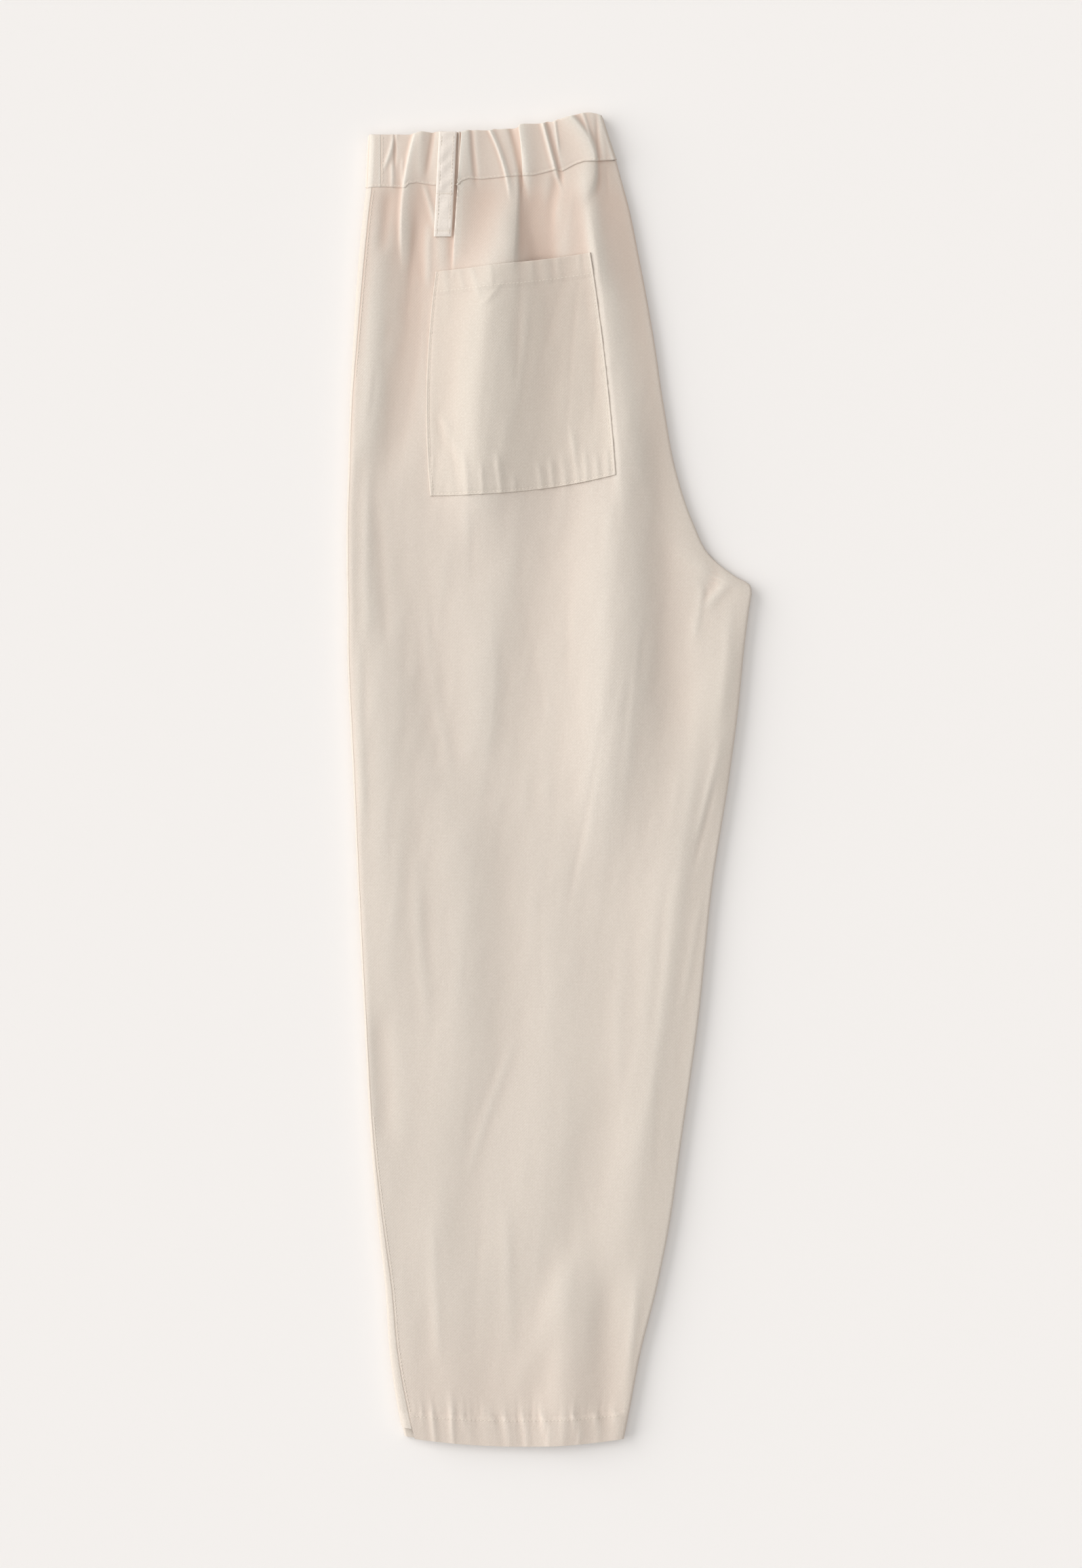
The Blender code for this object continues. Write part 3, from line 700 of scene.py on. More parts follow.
def normals_of(points, ring=False):
    """Unit normals of a grid of points, from the steps across it and along it."""
    if ring:
        wrapped = np.concatenate([points[:, -1:], points, points[:, :1]], axis=1)
        across = np.gradient(wrapped, axis=1)[:, 1:-1]
    else:
        across = np.gradient(points, axis=1)
    return unit(np.cross(across, np.gradient(points, axis=0)))


def quads(index):
    """Corners of the faces between neighbours of a grid of vertex numbers."""
    corners = (index[:-1, :-1], index[:-1, 1:], index[1:, 1:], index[1:, :-1])
    return np.stack(corners, axis=-1).reshape(-1, 4)


def unrolled(points):
    """Each point's place on the uncut cloth: its way along its row, and its place along the leg."""
    steps = np.linalg.norm(np.diff(points[..., [0, 2]], axis=1), axis=-1)
    width = np.concatenate([np.zeros((len(points), 1)), np.cumsum(steps, axis=1)], axis=1)
    return np.stack([width, points[..., 1]], axis=-1)


def cloth_object(name, outer, inner, flat, ring=False, depth=None):
    """A closed sheet between two grids, the outer one first, wound so that its faces point out.

    flat gives each point's place on the uncut cloth, in metres, as the UV map. Columns run
    against X and rows run down, so a face's corners go round against the clock from outside.
    """
    rows, columns = outer.shape[:2]
    index = np.arange(rows * columns).reshape(rows, columns)
    if ring:
        index = np.concatenate([index, index[:, :1]], axis=1)
    other = index + rows * columns
    faces = [quads(index)[:, ::-1], quads(other)]
    borders = [(index[0], other[0]), (other[-1], index[-1])]
    if not ring:
        borders += [(other[:, 0], index[:, 0]), (index[:, -1], other[:, -1])]
    for one, two in borders:
        faces.append(np.stack([one[:-1], one[1:], two[1:], two[:-1]], axis=-1))
    points = np.concatenate([outer.reshape(-1, 3), inner.reshape(-1, 3)])
    flats = np.concatenate([flat.reshape(-1, 2)] * 2)
    depth = np.zeros((rows, columns)) if depth is None else depth
    return mesh_object(name, points, np.concatenate(faces)[:, ::-1], flats, np.tile(depth.ravel(), 2))


def mesh_object(name, points, faces, flats=None, depth=None):
    """A mesh from whole arrays of points and four-cornered faces; cloth has a UV map and the share of
    painted shade in its folds.
    """
    mesh = bpy.data.meshes.new(name)
    mesh.vertices.add(len(points))
    mesh.vertices.foreach_set("co", points.astype(np.float32).ravel())
    mesh.loops.add(faces.size)
    mesh.loops.foreach_set("vertex_index", faces.astype(np.int32).ravel())
    mesh.polygons.add(len(faces))
    mesh.polygons.foreach_set("loop_start", np.arange(0, faces.size, 4, dtype=np.int32))
    mesh.update(calc_edges=True)
    if flats is not None:
        layer = mesh.uv_layers.new(name="flat_cloth")
        layer.data.foreach_set("uv", flats[faces.ravel()].astype(np.float32).ravel())
        # Share of painted shade in the folds, read by the twill's colour
        attribute = mesh.attributes.new("fold_shade_share", "FLOAT", "POINT")
        attribute.data.foreach_set("value", depth.astype(np.float32))
    mesh.validate()
    mesh.shade_smooth()
    mesh.set_sharp_from_angle(angle=math.radians(60))
    thing = bpy.data.objects.new(name, mesh)
    bpy.context.scene.collection.objects.link(thing)
    return thing


def settings():
    return bpy.context.scene.trousers_settings


def stage_settings():
    return bpy.context.scene.trousers_stage


class Signal:
    """A number from a socket, so that shader maths can be written as an expression."""

    def __init__(self, book, socket):
        self.book = book
        self.socket = socket

    def _maths(self, operation, *parts):
        return self.book.number("ShaderNodeMath", {"operation": operation}, dict(enumerate(parts)))

    def __add__(self, other):
        return self._maths("ADD", self, other)

    def __sub__(self, other):
        return self._maths("SUBTRACT", self, other)

    def __rsub__(self, other):
        return self._maths("SUBTRACT", other, self)

    def __mul__(self, other):
        return self._maths("MULTIPLY", self, other)

    __radd__ = __add__
    __rmul__ = __mul__

    def sine(self):
        return self._maths("SINE", self)

    def clamped(self):
        return self.book.number("ShaderNodeClamp", {}, {0: self})


class NodeBook:
    """The node tree of one material."""

    def __init__(self, name):
        self.material = bpy.data.materials.new(name)
        self.material.use_nodes = True
        self.tree = self.material.node_tree

    def node(self, kind, choices=None, values=None):
        """A node of a kind, its choices set first, then its sockets' values or links."""
        made = self.tree.nodes.new(kind)
        for name, choice in (choices or {}).items():
            setattr(made, name, choice)
        self.feed(made, values or {})
        return made

    def feed(self, node, values):
        """Give sockets of a node their values, or links from other sockets."""
        for name, value in values.items():
            value = value.socket if isinstance(value, Signal) else value
            if isinstance(value, bpy.types.NodeSocket):
                self.tree.links.new(value, node.inputs[name])
            else:
                node.inputs[name].default_value = value

    def number(self, kind, choices, values):
        return Signal(self, self.node(kind, choices, values).outputs[0])

    def noise(self, place, scale, detail, dimensions="2D"):
        values = {"Vector": place, "Scale": scale, "Detail": detail}
        return self.number("ShaderNodeTexNoise", {"noise_dimensions": dimensions}, values)

    def mapped(self, place, **change):
        """A place turned or stretched."""
        return self.node("ShaderNodeMapping", {}, {"Vector": place, **change}).outputs[0]

    def mixed(self, share, first, second):
        """A colour between two colours."""
        return self.node("ShaderNodeMix", {"data_type": "RGBA"}, {0: share, 6: first, 7: second}).outputs[2]

    def raised(self, height, strength, distance):
        """The normal of a surface that these heights raise."""
        values = {"Strength": strength, "Distance": distance, "Height": height}
        return self.node("ShaderNodeBump", {}, values).outputs[0]

    def finished(self, values):
        """The material, with these values or links on its surface."""
        self.feed(self.tree.nodes["Principled BSDF"], values)
        return self.material


def paler(colour, share):
    """A colour moved towards white by a share, or towards black below 0."""
    end = 1.0 if share > 0 else 0.0
    return tuple(part + (end - part) * abs(share) for part in colour) + (1.0,)


def twill_material(name, colour, turned=0.0):
    """Matte twill: diagonal ribs broken into short floats, uneven yarns, and painted shade, darker and
    warmer, in the deep folds.
    """
    book = NodeBook(name)
    colour = tuple(colour)
    flat = book.node("ShaderNodeUVMap", {"uv_map": "flat_cloth"}).outputs[0]
    place = book.mapped(flat, Rotation=(0, 0, turned))
    parts = book.node("ShaderNodeSeparateXYZ", {}, {0: place})
    x, y = (Signal(book, parts.outputs[i]) for i in (0, 1))
    wander = book.noise(flat, 170.0, 1.0)
    turn = 2 * math.pi / settings().twill_pitch
    across, along = RIB_ACROSS * turn, RIB_ALONG * turn
    rib = (x * across + y * along + wander * 2.4).sine()
    float_ = (x * (along * FLOATS) - y * (across * FLOATS) + wander * 4.0).sine()
    warp = book.noise(book.mapped(flat, Scale=(1.0, 0.06, 1.0)), 1500.0, 2.0)
    weft = book.noise(book.mapped(flat, Scale=(0.08, 1.0, 1.0)), 1300.0, 2.0)
    fibre = book.noise(flat, 2600.0, 3.0)
    grain = book.noise(flat, 640.0, 1.0)
    crease = book.noise(flat, 95.0, 4.0)
    cloud = book.noise(flat, 14.0, 3.0)
    # Painted shade: the fold tint's share, which darkens and warms the colour in the folds' hollows
    depth = Signal(book, book.node("ShaderNodeAttribute", {"attribute_name": "fold_shade_share"}).outputs["Fac"])
    yarns = rib * 0.36 + float_ * 0.16 + warp * 0.8 + weft * 0.6 + fibre * 0.6
    weave = (yarns * 0.3 + grain * 1.7 - 0.8).clamped()
    woven = book.mixed(weave, paler(colour, -0.07), paler(colour, 0.07))
    clouded = book.mixed((cloud * 0.5).clamped(), woven, paler(colour, 0.03))
    # Painted shade: the colour mixed towards the fold shade colour by that share
    shaded_in_folds = book.mixed((depth * 0.75).clamped(), clouded, paler(settings().fold_shade_colour, 0.0))
    return book.finished({
        "Base Color": shaded_in_folds,
        "Roughness": 0.93 - 0.08 * weave,
        "Normal": book.raised(yarns + crease * 2.8, 0.4, 0.2 * MM),
        "Sheen Weight": 0.12,
        "Sheen Roughness": 0.5,
        "Specular IOR Level": 0.25,
    })


def thread_material(name):
    """Matte sewing thread, speckled by its fibres."""
    book = NodeBook(name)
    colour = tuple(settings().thread_colour)
    speckle = book.noise(book.node("ShaderNodeTexCoord").outputs["Object"], 1400.0, 2.0, "3D")
    return book.finished({
        "Base Color": book.mixed(speckle, paler(colour, -0.14), paler(colour, 0.14)),
        "Roughness": 0.75 + 0.15 * speckle,
        "Normal": book.raised(speckle, 0.4, 0.1 * MM),
    })


def material(name, make, *values):
    """A material by name, made the first time that it is asked for."""
    return bpy.data.materials.get(name) or make(name, *values)


def leg_cloth():
    return material("twill_of_legs", twill_material, settings().leg_colour)


def finish_piece(thing, finish, nodes=()):
    thing.data.materials.append(finish)
    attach(thing, BODY)
    if nodes:
        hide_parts(*nodes)
    return thing


def local_mean(height, reach):
    """Mean of each row's heights over this many neighbours on both sides."""
    padded = np.pad(height, ((0, 0), (reach, reach)), mode="edge")
    sums = np.cumsum(np.pad(padded, ((0, 0), (1, 0))), axis=1)
    return (sums[:, 2 * reach + 1 :] - sums[:, : -2 * reach - 1]) / (2 * reach + 1)


def fold_shade_share(points):
    """Share of the fold tint: painted shade where a point lies below its surroundings, and more tint by the
    waist.

    It compares the height with the mean over a near and a wide stretch of the row, and adds a
    part that dies away below the waist, and painted shade that darkens the cloth a little towards the hem.
    """
    height = points[..., 2] / MM
    down = LENGTH / 2 - points[..., 1] / MM
    # Painted shade: hollows tinted darker and warmer than the cloth round them
    near = np.clip((local_mean(height, 7) - height) / 1.5, -0.3, 1)
    wide = np.clip((local_mean(height, 24) - height) / 7.0, -0.3, 1)
    waist = (0.4 + 0.26 * smoothstep((down - 50) / 20)) * np.exp(-np.clip(down - 60, 0, None) / 110)
    # Painted shade, darker towards the hem
    hem = 0.2 * smoothstep((down - 880) / 100)
    share = 0.3 + 0.7 * (1 - smoothstep((down - 150) / 150))
    return np.clip(0.1 + share * (near + wide) + waist + hem, 0, 1)


def leg_places():
    """Mean distances down of the leg's rows: closer near the waist and across the hem's fold."""
    share = np.linspace(0, 1, LEG_ROWS)
    even = between(KNOTS[0], LAST_KNOT, 0.36 * share + 0.64 * share**1.9)
    near = HEM_LINE + np.array([-2.4, -1.6, -0.8, 0.0, 0.8, 1.6])
    return np.unique(np.concatenate([even[np.abs(even - HEM_LINE) > 2.6], near]))[:, None]


def leg_columns(left, right, columns):
    """x from the right edge to the left limit, closer together in the right edge's arc."""
    arc = right - EDGE_RADIUS * (1 - np.cos(QUARTER_TURN))
    return np.concatenate([arc, between(arc[:, -1:], left, np.linspace(0, 1, columns)[1:])], axis=1)


def edge_strip(count):
    """Shares from beyond the side seam to the left edge, closer together in the edge's arc."""
    return np.concatenate([np.linspace(1, 0.2, count), [0.12, 0.06, 0.02, 0.0]])


def tucked(past_seam, deep):
    """How far cloth sinks below the seam beside it: eased over its tuck to the whole depth."""
    return deep * smoothstep((past_seam + 0.5) / (SEAM_TUCK + 0.5))


def make_left_back():
    """The back panel: the leg's upper side from its right edge to the side seam, made one cloth thick."""
    place = leg_places()
    row = section_at(place)
    x = leg_columns(row.left + row.seam, row.right, LEG_COLUMNS)
    down = row_down(place, x)
    points = to_points(leg_top(x, down, np.broadcast_to(place, x.shape)))
    inner = points - level_borders(normals_of(points)) * settings().cloth_thickness
    flat = np.stack([x, -down], axis=-1) * MM
    # The back panel carries the painted shade in its folds
    return cloth_object("left_back_panel", points, inner, flat, depth=fold_shade_share(points))


def level_borders(normals):
    """Normals that are level where the cloth's first or last column stands upright."""
    for column in (0, -1):
        steep = np.abs(normals[:, column, 0]) > np.abs(normals[:, column, 2])
        normals[steep, column, 2] = 0
    normals[[0, -1], :, 1] = 0
    return unit(normals)


def make_left_front():
    """The strip beside the side seam, round the left edge, and the layer under the back panel.

    Each row follows the leg's upper side to the left edge, turns under in a quarter circle, runs
    level to the right and ends in another quarter circle, which rises below the crotch.
    """
    place = leg_places()[::2]
    row = section_at(place)
    left = row.left
    strip_x = left + (row.seam + SEAM_TUCK) * edge_strip(12)
    over = leg_top(strip_x, row_down(place, strip_x), np.broadcast_to(place, strip_x.shape))
    over[..., 2] -= tucked(strip_x - left - row.seam, 1.2)
    wrapped = place < CROTCH_DOWN
    end = row.right - np.where(wrapped, WRAP_INSET, 0.0)
    rise = np.where(wrapped, 0.0, EDGE_RADIUS - LAYER_GAP)
    turn = QUARTER_TURN[1:]
    turn_x = left + EDGE_RADIUS * (1 - np.cos(turn))
    turn_z = np.broadcast_to(UPPER_LEG_MID - EDGE_RADIUS * np.sin(turn), turn_x.shape)
    flat_x = between(turn_x[:, -1:], end - EDGE_RADIUS, np.linspace(0, 1, UNDER_COLUMNS)[1:])
    up_x = end - EDGE_RADIUS * (1 - np.sin(turn))
    up_z = UPPER_LEG_LOW + rise * (1 - np.cos(turn))
    x = np.concatenate([turn_x, flat_x, up_x], axis=1)
    z = np.concatenate([turn_z, np.full(flat_x.shape, UPPER_LEG_LOW), up_z], axis=1)
    below = np.stack([x, row_down(place, x), z], axis=-1)
    points = to_points(np.concatenate([over, below], axis=1))
    inner = points - level_borders(normals_of(points)) * settings().cloth_thickness
    return cloth_object("left_front_panel", points, inner, unrolled(points))


def make_right_leg():
    """The leg underneath: a flattened tube with a flat underside, its creases sunk into it.

    Each row goes round: over the top from right to left, round the left edge, back below and
    up the right edge, which above the crotch stands up to meet the seat seam.
    """
    place = leg_places()[::3]
    row = section_at(place)
    left, right = row.left + 0.5, row.right - 0.4
    radius = UNDER_LEG_TOP / 2
    falling = np.radians(np.linspace(90, -90, 11))
    rising = falling[::-1]
    left_x = left + radius * (1 - np.cos(falling))
    over_x = right - radius + (left - right + 2 * radius) * np.linspace(0, 1, 40)[1:-1]
    under_x = over_x[:, ::-1]
    sunk = 0.35 * np.clip(crumple(-under_x, row_down(place, under_x)) - 0.1, 0, 1)
    lean = np.where(place < CROTCH_DOWN, np.minimum(rising, 0.0), rising)
    right_x = right - radius * (1 - np.cos(lean))
    left_z, right_z = (
        np.broadcast_to(radius + radius * np.sin(turn), left_x.shape) for turn in (falling, rising)
    )
    x = np.concatenate([over_x, left_x, under_x, right_x], axis=1)
    z = np.concatenate([np.full(over_x.shape, UNDER_LEG_TOP), left_z, sunk, right_z], axis=1)
    points = to_points(np.stack([x, row_down(place, x), z], axis=-1))
    inner = points - normals_of(points, ring=True) * settings().cloth_thickness
    return cloth_object("right_leg_folded", points, inner, unrolled(points), ring=True)


def with_borders(count, steps):
    """Shares from 0 to 1: these small steps at both ends, even ones between them."""
    steps = np.asarray(steps)
    even = np.linspace(steps[-1], 1 - steps[-1], count)[1:-1]
    return np.concatenate([steps, even, 1 - steps[::-1]])


def make_waistband():
    """The gathered left back band, and the flatter front band beyond the elastic's end.

    Both follow the band's upper side and are one band thick. The front end sinks under the seam.
    """
    share = with_borders(BAND_ROWS, [0.0, 0.004, 0.01, 0.018, 0.028, 0.042, 0.06])[:, None]
    left, right = band_edges(share)
    gathered_x = leg_columns(np.full_like(left, FRONT_BAND_END), right, BAND_COLUMNS)
    front_x = left + (FRONT_BAND_END + SEAM_TUCK - left) * edge_strip(22)
    made = []
    for name, x in (("waistband_gathered", gathered_x), ("waistband_front_end", front_x)):
        top = band_top(x, share)
        if x is front_x:
            top[..., 2] -= tucked(x - FRONT_BAND_END, 1.0)
        points = to_points(top)
        inner = points - level_borders(normals_of(points)) * BAND_THICK * MM
        # The band carries the painted shade in its folds
        made.append(cloth_object(name, points, inner, unrolled(points) * (-1, 1), depth=fold_shade_share(points)))
    return made


def make_band_layers():
    """The hidden rest of the band: one strip folded to and fro, its turns at the two edges.

    The strip's line goes left under the upper layer, turns in a half circle at the left edge, comes
    back to the right edge, turns again and ends at the left. It is swept down the band's depth.
    """
    share = np.linspace(0, 1, 12)[:, None]
    left, right = band_edges(share)
    left, right = left + 1.3, right - 1.3
    turn = np.radians(np.linspace(75, -75, 6))
    lines_x, lines_z = [], []
    for number, layers in enumerate((2.5, 1.5, 0.5)):
        near, far, side = (left, right, 1) if number % 2 else (right, left, -1)
        height = layers * BAND_LAYER
        line = between(near, far, np.linspace(0, 1, 44))
        lines_x.append(line)
        lines_z.append(np.full(line.shape, height) + 0.12 * np.sin(line / 4.1 + number))
        if number < 2:
            lines_x.append(far + side * BAND_LAYER / 2 * np.cos(turn))
            turn_z = height - BAND_LAYER / 2 + BAND_LAYER / 2 * np.sin(turn)
            lines_z.append(np.broadcast_to(turn_z, (len(share), len(turn))))
    x, z = np.concatenate(lines_x, axis=1), np.concatenate(lines_z, axis=1)
    top = line_through(BAND_TOP, x)
    down = top + 1.2 + (line_through(WAIST_SEAM, x) - top - 1.4) * share
    middle = to_points(np.stack([x, down, z], axis=-1))
    half = unit(normals_of(middle) * (1, 0, 1)) * (BAND_LAYER / 2 - LAYER_GAP) * MM
    return cloth_object("waistband_layers", middle + half, middle - half, unrolled(middle))


def make_pocket():
    """The patch pocket: its upper side over all its width and depth, made one cloth thick."""
    borders = [0.0, 0.0025, 0.006, 0.011, 0.017, 0.024]
    across = with_borders(POCKET_COLUMNS, borders)[None, ::-1]
    along = with_borders(POCKET_ROWS, borders)[:, None]
    surface = pocket_top(across, along)
    points = to_points(surface)
    inner = points - normals_of(points) * settings().cloth_thickness
    flat = surface[..., :2] * (MM, -MM)
    # Half as much painted shade in the folds on the pocket
    return cloth_object("back_pocket_patch", points, inner, flat, depth=fold_shade_share(points) * 0.5)


def loop_line():
    """The strap's middle line: round over the band's upper edge, then down on the cloth below it.

    Its height is the highest cloth across the strap, the greatest of the near rows and then
    their running mean, so that the strap spans the gathers.
    """
    centre = LOOP_TOP.down + 0.3
    downs = np.linspace(centre, LOOP_END.down, LOOP_ROWS)
    xs = np.interp(downs, [LOOP_TOP.down, LOOP_END.down], [LOOP_TOP.x, LOOP_END.x])
    x = xs[:, None] + np.linspace(-0.5, 0.5, 7) * LOOP_WIDE
    down = np.broadcast_to(np.maximum(downs, LOOP_TOP.down + 3.0)[:, None], x.shape)
    below = down > line_through(WAIST_SEAM, x)
    highest = np.where(below, leg_top(x, down)[..., 2], band_at(x, down)[..., 2]).max(axis=1)
    spread = 4
    rows = 2 * spread + 1
    windows = np.lib.stride_tricks.sliding_window_view(np.pad(highest, spread, mode="edge"), rows)
    top = np.pad(windows.max(axis=1), spread, mode="edge")
    smooth = np.convolve(top, np.ones(rows) / rows, mode="valid")
    height = np.maximum(smooth, highest) + LAYER_GAP + LOOP_THICK
    turn = np.radians(np.linspace(0, 78, 8))
    turn_down = centre - LOOP_RADIUS * np.cos(turn)
    turn_height = height[0] - LOOP_RADIUS * (1 - np.sin(turn))
    line_down = np.concatenate([[turn_down[0]], turn_down, downs])
    line_height = np.concatenate([[BAND_LOW + 1.2], turn_height, height])
    return np.concatenate([np.full(9, xs[0]), xs]), line_down, line_height


def make_loop():
    """The belt loop: a flat strap swept down its line, its edges rounded and its middle quilted.

    Quarter circles round the edges off, bell curves sink the stitches and the tacks, and a drift
    makes the rest uneven.
    """
    line_x, line_down, line_height = (line[:, None] for line in loop_line())
    across = np.linspace(1, -1, LOOP_COLUMNS)[None, :]
    edge = 1 - np.abs(across)
    height = line_height - 0.8 * (1 - rounding(edge, 0.24)) - 0.22 * bump(edge - 0.34, 0.09)
    height = height + 0.45 * drift(across * 6 + 0.4 * line_down, line_down, 5.0, 7.0, LOOP_SEED)
    for tack in LOOP_TACKS:
        height = height - 0.5 * bump(line_down - tack, 1.2)
    x = line_x + across * LOOP_WIDE / 2
    down = np.broadcast_to(line_down, x.shape)
    points = to_points(np.stack([x, down, height], axis=-1))
    inner = points - normals_of(points) * LOOP_THICK * MM
    return cloth_object("belt_loop_strap", points, inner, np.stack([x, -down], axis=-1) * MM)


def read_along(at, length, values):
    """A line's points or normals, read at other lengths along it."""
    return np.stack([np.interp(at, length, column) for column in values.T], axis=1)


def stitch_mesh(name, runs):
    """Stitches along runs of surface points: each a small spindle that lies along its run.

    A spindle's radius is the root of 1 - t^4 along its length, so its ends close, and its lower
    half sinks into the cloth.
    """
    ends = np.array([-1.0, -0.86, -0.4, 0.4, 0.86, 1.0])
    sides = np.radians(np.arange(6) * 60.0)
    near = 0.6 * MM
    places, tangents, ups = [], [], []
    for points, normals, pitch in runs:
        steps = np.linalg.norm(np.diff(points, axis=0), axis=1)
        length = np.concatenate([[0], np.cumsum(steps)])
        at = np.arange(pitch / 2, length[-1] - pitch / 3, pitch)
        places.append(read_along(at, length, points))
        tangents.append(read_along(at + near, length, points) - read_along(at - near, length, points))
        ups.append(read_along(at, length, normals))
    place, tangent, up = (np.concatenate(part) for part in (places, tangents, ups))
    tangent = unit(tangent)
    up = unit(up - tangent * np.sum(up * tangent, axis=1, keepdims=True))
    side = np.cross(tangent, up)
    thick = STITCH_WIDE / 2 * MM
    along = (ends * STITCH_LENGTH / 2 * MM)[:, None, None] * tangent[:, None, None]
    ring = np.cos(sides)[:, None] * side[:, None, None] + 0.8 * np.sin(sides)[:, None] * up[:, None, None]
    ring = ring * (np.sqrt(np.maximum(1 - ends**4, 0.02)) * thick)[:, None, None]
    bow = (0.6 * (1 - ends**2) * thick)[:, None, None] * up[:, None, None]
    points = place[:, None, None] + along + ring + bow
    grid = np.arange(36).reshape(6, 6)
    sleeve = quads(np.concatenate([grid, grid[:, :1]], axis=1))
    cap = np.array([[0, 1, 2, 3], [0, 3, 4, 5]])
    one = np.concatenate([sleeve, cap[:, ::-1], cap + 30])
    faces = (one[None] + 36 * np.arange(len(place))[:, None, None]).reshape(-1, 4)
    return recalculated(mesh_object(name, points.reshape(-1, 3), faces))


def recalculated(thing):
    """A mesh of closed pieces with its normals turned outwards."""
    mesh = bmesh.new()
    mesh.from_mesh(thing.data)
    bmesh.ops.recalc_face_normals(mesh, faces=mesh.faces)
    mesh.to_mesh(thing.data)
    mesh.free()
    return thing


def run_on(surface, one, two):
    """Points and normals of a surface along a line of its two parameters, for a run of stitches."""
    step = 0.02
    middle = to_points(surface(one, two))
    across = to_points(surface(one + step, two)) - middle
    along = to_points(surface(one, two + step)) - middle
    normals = unit(np.cross(along, across))
    return middle, normals * np.sign(normals[:, 2:3]), STITCH_PITCH * MM


def upright_run(points, pitch=STITCH_PITCH):
    """A run of stitches through these points, with its normals straight up."""
    return points, np.tile([0.0, 0.0, 1.0], (len(points), 1)), pitch * MM


def seam_run(first, last):
    """A run of stitches beside the side seam, between two mean distances down."""
    place = np.linspace(first, last, 400)
    row = section_at(place)
    x = row.left + row.seam + 1.4
    return run_on(leg_top, x, row_down(place, x))


def make_panel_stitches():
    """The hem's stitches, and the side seam's at its two ends, where it shows."""
    x = np.linspace(-104, 55, 400)
    hem = row_down(np.full(x.shape, HEM_LINE + 2.2), x)
    return [run_on(leg_top, x, hem), seam_run(KNOTS[0] + 4, 200), seam_run(760, HEM_LINE)]


def make_band_stitches():
    """The stitches above the waist seam, and those down the end of the elastic."""
    x = np.linspace(-135, 47, 600)
    share = np.linspace(0.04, 0.95, 60)
    return [
        run_on(band_top, x, np.full(x.shape, 0.955)),
        run_on(band_top, np.full(share.shape, FRONT_BAND_END + 1.2), share),
    ]


def make_pocket_stitches():
    """The stitches along the pocket's two sides, its lower edge and its upper hem."""
    inset, rise = 2.0 / POCKET_WIDE, 2.0 / POCKET_DEEP
    line = np.linspace(0, 1, 400)
    along, across = 0.01 + line * (0.99 - rise), between(inset, 1 - inset, line)
    sides = [(np.full(400, place), along) for place in (inset, 1 - inset)]
    rows = [(across, np.full(400, place)) for place in (1 - rise, (POCKET_HEM - 1.6) / POCKET_DEEP)]
    return [upright_run(to_points(pocket_top(*run))) for run in sides + rows]


def make_loop_stitches():
    """The two rows of stitches along the belt loop, and its tacks."""
    lines = loop_line()
    line_x, line_down, line_height = (line[lines[1] > LOOP_TOP.down + 1.0] for line in lines)
    runs = []
    for side in (-1, 1):
        x = line_x + side * LOOP_WIDE / 2 * 0.66
        runs.append(upright_run(to_points(np.stack([x, line_down, line_height - 0.22], axis=-1))))
    for tack in LOOP_TACKS:
        x = np.interp(tack, line_down, line_x) + np.linspace(-0.47, 0.47, 40) * LOOP_WIDE
        height = np.interp(tack, line_down, line_height) - 0.45
        points = to_points(np.stack([x, np.full(40, tack), np.full(40, height)], axis=-1))
        runs.append(upright_run(points, TACK_PITCH))
    return runs


class TROUSERS_OT_leg_panels(bpy.types.Operator):
    """Make the left leg's back and front panels and the right leg under them"""

    bl_idname = "trousers.leg_panels"
    bl_label = "Leg Panels"

    def execute(self, context):
        back = finish_piece(make_left_back(), leg_cloth(), ["left_back"])
        front = finish_piece(make_left_front(), leg_cloth(), ["left_front"])
        right = finish_piece(make_right_leg(), leg_cloth(), ["right_leg"])
        return {"FINISHED"}


class TROUSERS_OT_waistband(bpy.types.Operator):
    """Make the gathered waistband, its flatter front end and its folded layers"""

    bl_idname = "trousers.waistband"
    bl_label = "Waistband"

    def execute(self, context):
        cloth = material("twill_of_band", twill_material, settings().band_colour)
        gathered, front_end = make_waistband()
        layers = finish_piece(make_band_layers(), cloth, ["waistband_folded"])
        finish_piece(gathered, cloth, ["waistband_left_back"])
        finish_piece(front_end, cloth, ["waistband_left_front"])
        return {"FINISHED"}


class TROUSERS_OT_pocket(bpy.types.Operator):
    """Make the patch pocket on the left back"""

    bl_idname = "trousers.pocket"
    bl_label = "Patch Pocket"

    def execute(self, context):
        cloth = material("twill_of_pocket", twill_material, settings().pocket_colour)
        pocket = finish_piece(make_pocket(), cloth, ["back_pocket"])
        return {"FINISHED"}


class TROUSERS_OT_belt_loop(bpy.types.Operator):
    """Make the belt loop over the waistband"""

    bl_idname = "trousers.belt_loop"
    bl_label = "Belt Loop"

    def execute(self, context):
        turned = math.radians(-32)
        cloth = material("twill_of_loop", twill_material, settings().loop_colour, turned)
        loop = finish_piece(make_loop(), cloth, ["belt_loop"])
        return {"FINISHED"}


class TROUSERS_OT_stitching(bpy.types.Operator):
    """Sew the seams, the hem, the pocket and the loop with separate stitches"""

    bl_idname = "trousers.stitching"
    bl_label = "Stitching"

    def execute(self, context):
        thread = material("sewing_thread", thread_material)
        for name, runs, slot in (
            ("panel_stitches", make_panel_stitches(), "leg_twill"),
            ("band_stitches", make_band_stitches(), "waistband_twill"),
            ("pocket_stitches", make_pocket_stitches(), "pocket_twill"),
            ("loop_stitches", make_loop_stitches(), "loop_twill"),
        ):
            finish_piece(stitch_mesh(name, runs), thread)
        return {"FINISHED"}


class TROUSERS_OT_stage(bpy.types.Operator):
    """Lay a plain floor, set soft lights and look straight down as the photo does"""

    bl_idname = "trousers.stage"
    bl_label = "Stage"

    def execute(self, context):
        stage = stage_settings()
        scene = context.scene
        scene.view_settings.view_transform = "Standard"
        make_floor(stage)
        make_lights(stage)
        make_camera(scene)
        return {"FINISHED"}


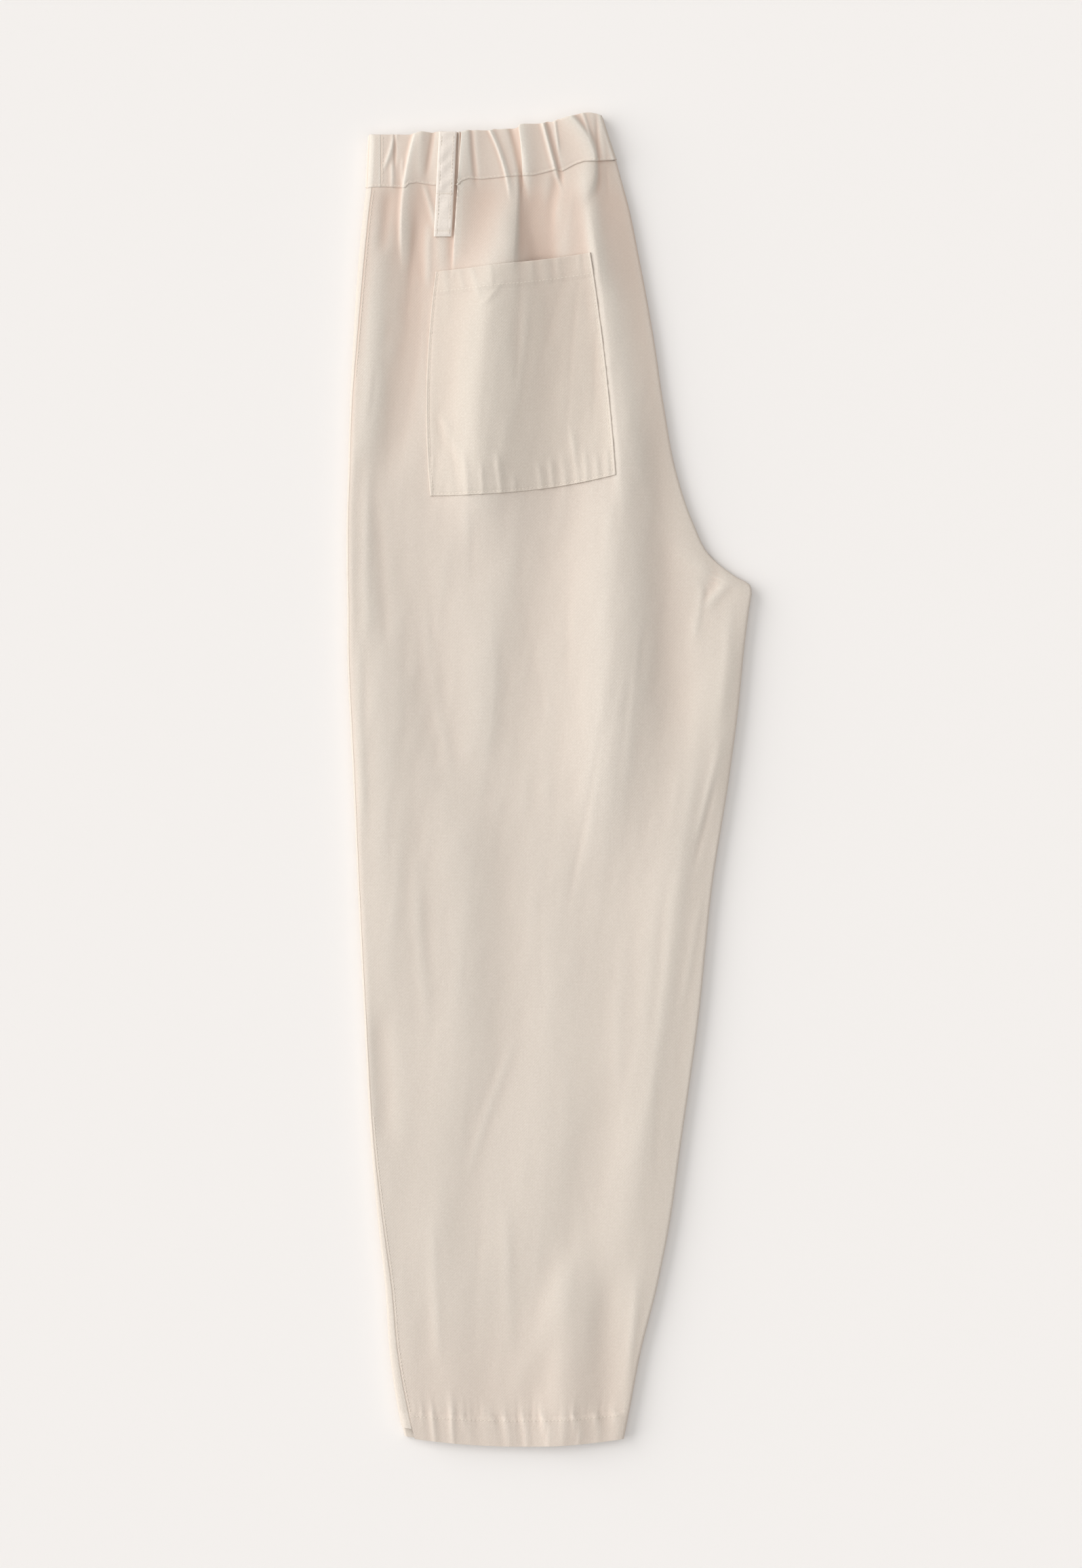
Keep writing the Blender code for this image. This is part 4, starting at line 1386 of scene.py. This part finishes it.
def make_floor(stage):
    """A wide plain square just below the cloth."""
    half, low = FLOOR_HALF, -FLOOR_GAP * MM
    corners = np.array([[-half, -half, low], [half, -half, low], [half, half, low], [-half, half, low]])
    floor = mesh_object("floor", corners, np.array([[0, 1, 2, 3]]))
    book = NodeBook("floor_paper")
    colour = tuple(stage.floor_colour)
    grain = book.noise(book.node("ShaderNodeTexCoord").outputs["Object"], 900.0, 2.0, "3D")
    floor.data.materials.append(book.finished({
        "Base Color": book.mixed(grain, paler(colour, -0.01), paler(colour, 0.01)),
        "Roughness": 0.95,
        "Specular IOR Level": 0.1,
    }))


def make_lights(stage):
    """A wide sun from the left, another from straight above, and an even sky."""
    for name, strength, spread, turn in (
        ("key_light", stage.key_strength, stage.key_spread, KEY_TURN),
        ("top_light", stage.top_strength, math.radians(80), TOP_TURN),
    ):
        sun = bpy.data.lights.new(name, "SUN")
        sun.energy = strength
        sun.angle = spread
        lamp = bpy.data.objects.new(name, sun)
        lamp.rotation_euler = [math.radians(angle) for angle in turn]
        bpy.context.scene.collection.objects.link(lamp)
    world = bpy.data.worlds.new("soft_sky")
    world.use_nodes = True
    sky = world.node_tree.nodes["Background"]
    sky.inputs["Color"].default_value = (1.0, 1.0, 1.0, 1.0)
    sky.inputs["Strength"].default_value = stage.sky_strength
    bpy.context.scene.world = world


def make_camera(scene):
    """A long lens straight above, framed so that the photo's pixels have their real size on the floor."""
    data = bpy.data.cameras.new("camera")
    data.lens = LENS
    data.sensor_width = SENSOR
    camera = bpy.data.objects.new("camera", data)
    across = PHOTO_WIDE / 2 - ORIGIN_PIXEL.x
    up = ORIGIN_PIXEL.down - PHOTO_HIGH / 2
    high = PHOTO_HIGH * LENS / SENSOR
    camera.location = [pixels * PHOTO_SCALE * MM for pixels in (across, up, high)]
    scene.collection.objects.link(camera)
    scene.camera = camera


class TROUSERS_PT_panel(bpy.types.Panel):
    """Lists the pieces in the order in which they are made"""

    bl_idname = "TROUSERS_PT_panel"
    bl_label = "Trousers"
    bl_space_type = "VIEW_3D"
    bl_region_type = "UI"
    bl_category = "Trousers"

    def draw(self, context):
        for name in ("cloth_thickness", "wrinkles", "puckers", "leg_colour", "fold_shade_colour"):
            self.layout.prop(context.scene.trousers_settings, name)
        for operator in OPERATORS:
            self.layout.operator(operator.bl_idname)


OPERATORS = (
    TROUSERS_OT_leg_panels,
    TROUSERS_OT_waistband,
    TROUSERS_OT_pocket,
    TROUSERS_OT_belt_loop,
    TROUSERS_OT_stitching,
    TROUSERS_OT_stage,
)
CLASSES = (TrousersSettings, StageSettings, *OPERATORS, TROUSERS_PT_panel)


def register():
    for cls in CLASSES:
        bpy.utils.register_class(cls)
    bpy.types.Scene.trousers_settings = bpy.props.PointerProperty(type=TrousersSettings)
    bpy.types.Scene.trousers_stage = bpy.props.PointerProperty(type=StageSettings)


def unregister():
    del bpy.types.Scene.trousers_stage
    del bpy.types.Scene.trousers_settings
    for cls in reversed(CLASSES):
        bpy.utils.unregister_class(cls)


def main():
    register()
    for operator in OPERATORS:
        group, name = operator.bl_idname.split(".")
        getattr(getattr(bpy.ops, group), name)()


if __name__ == "__main__":
    main()
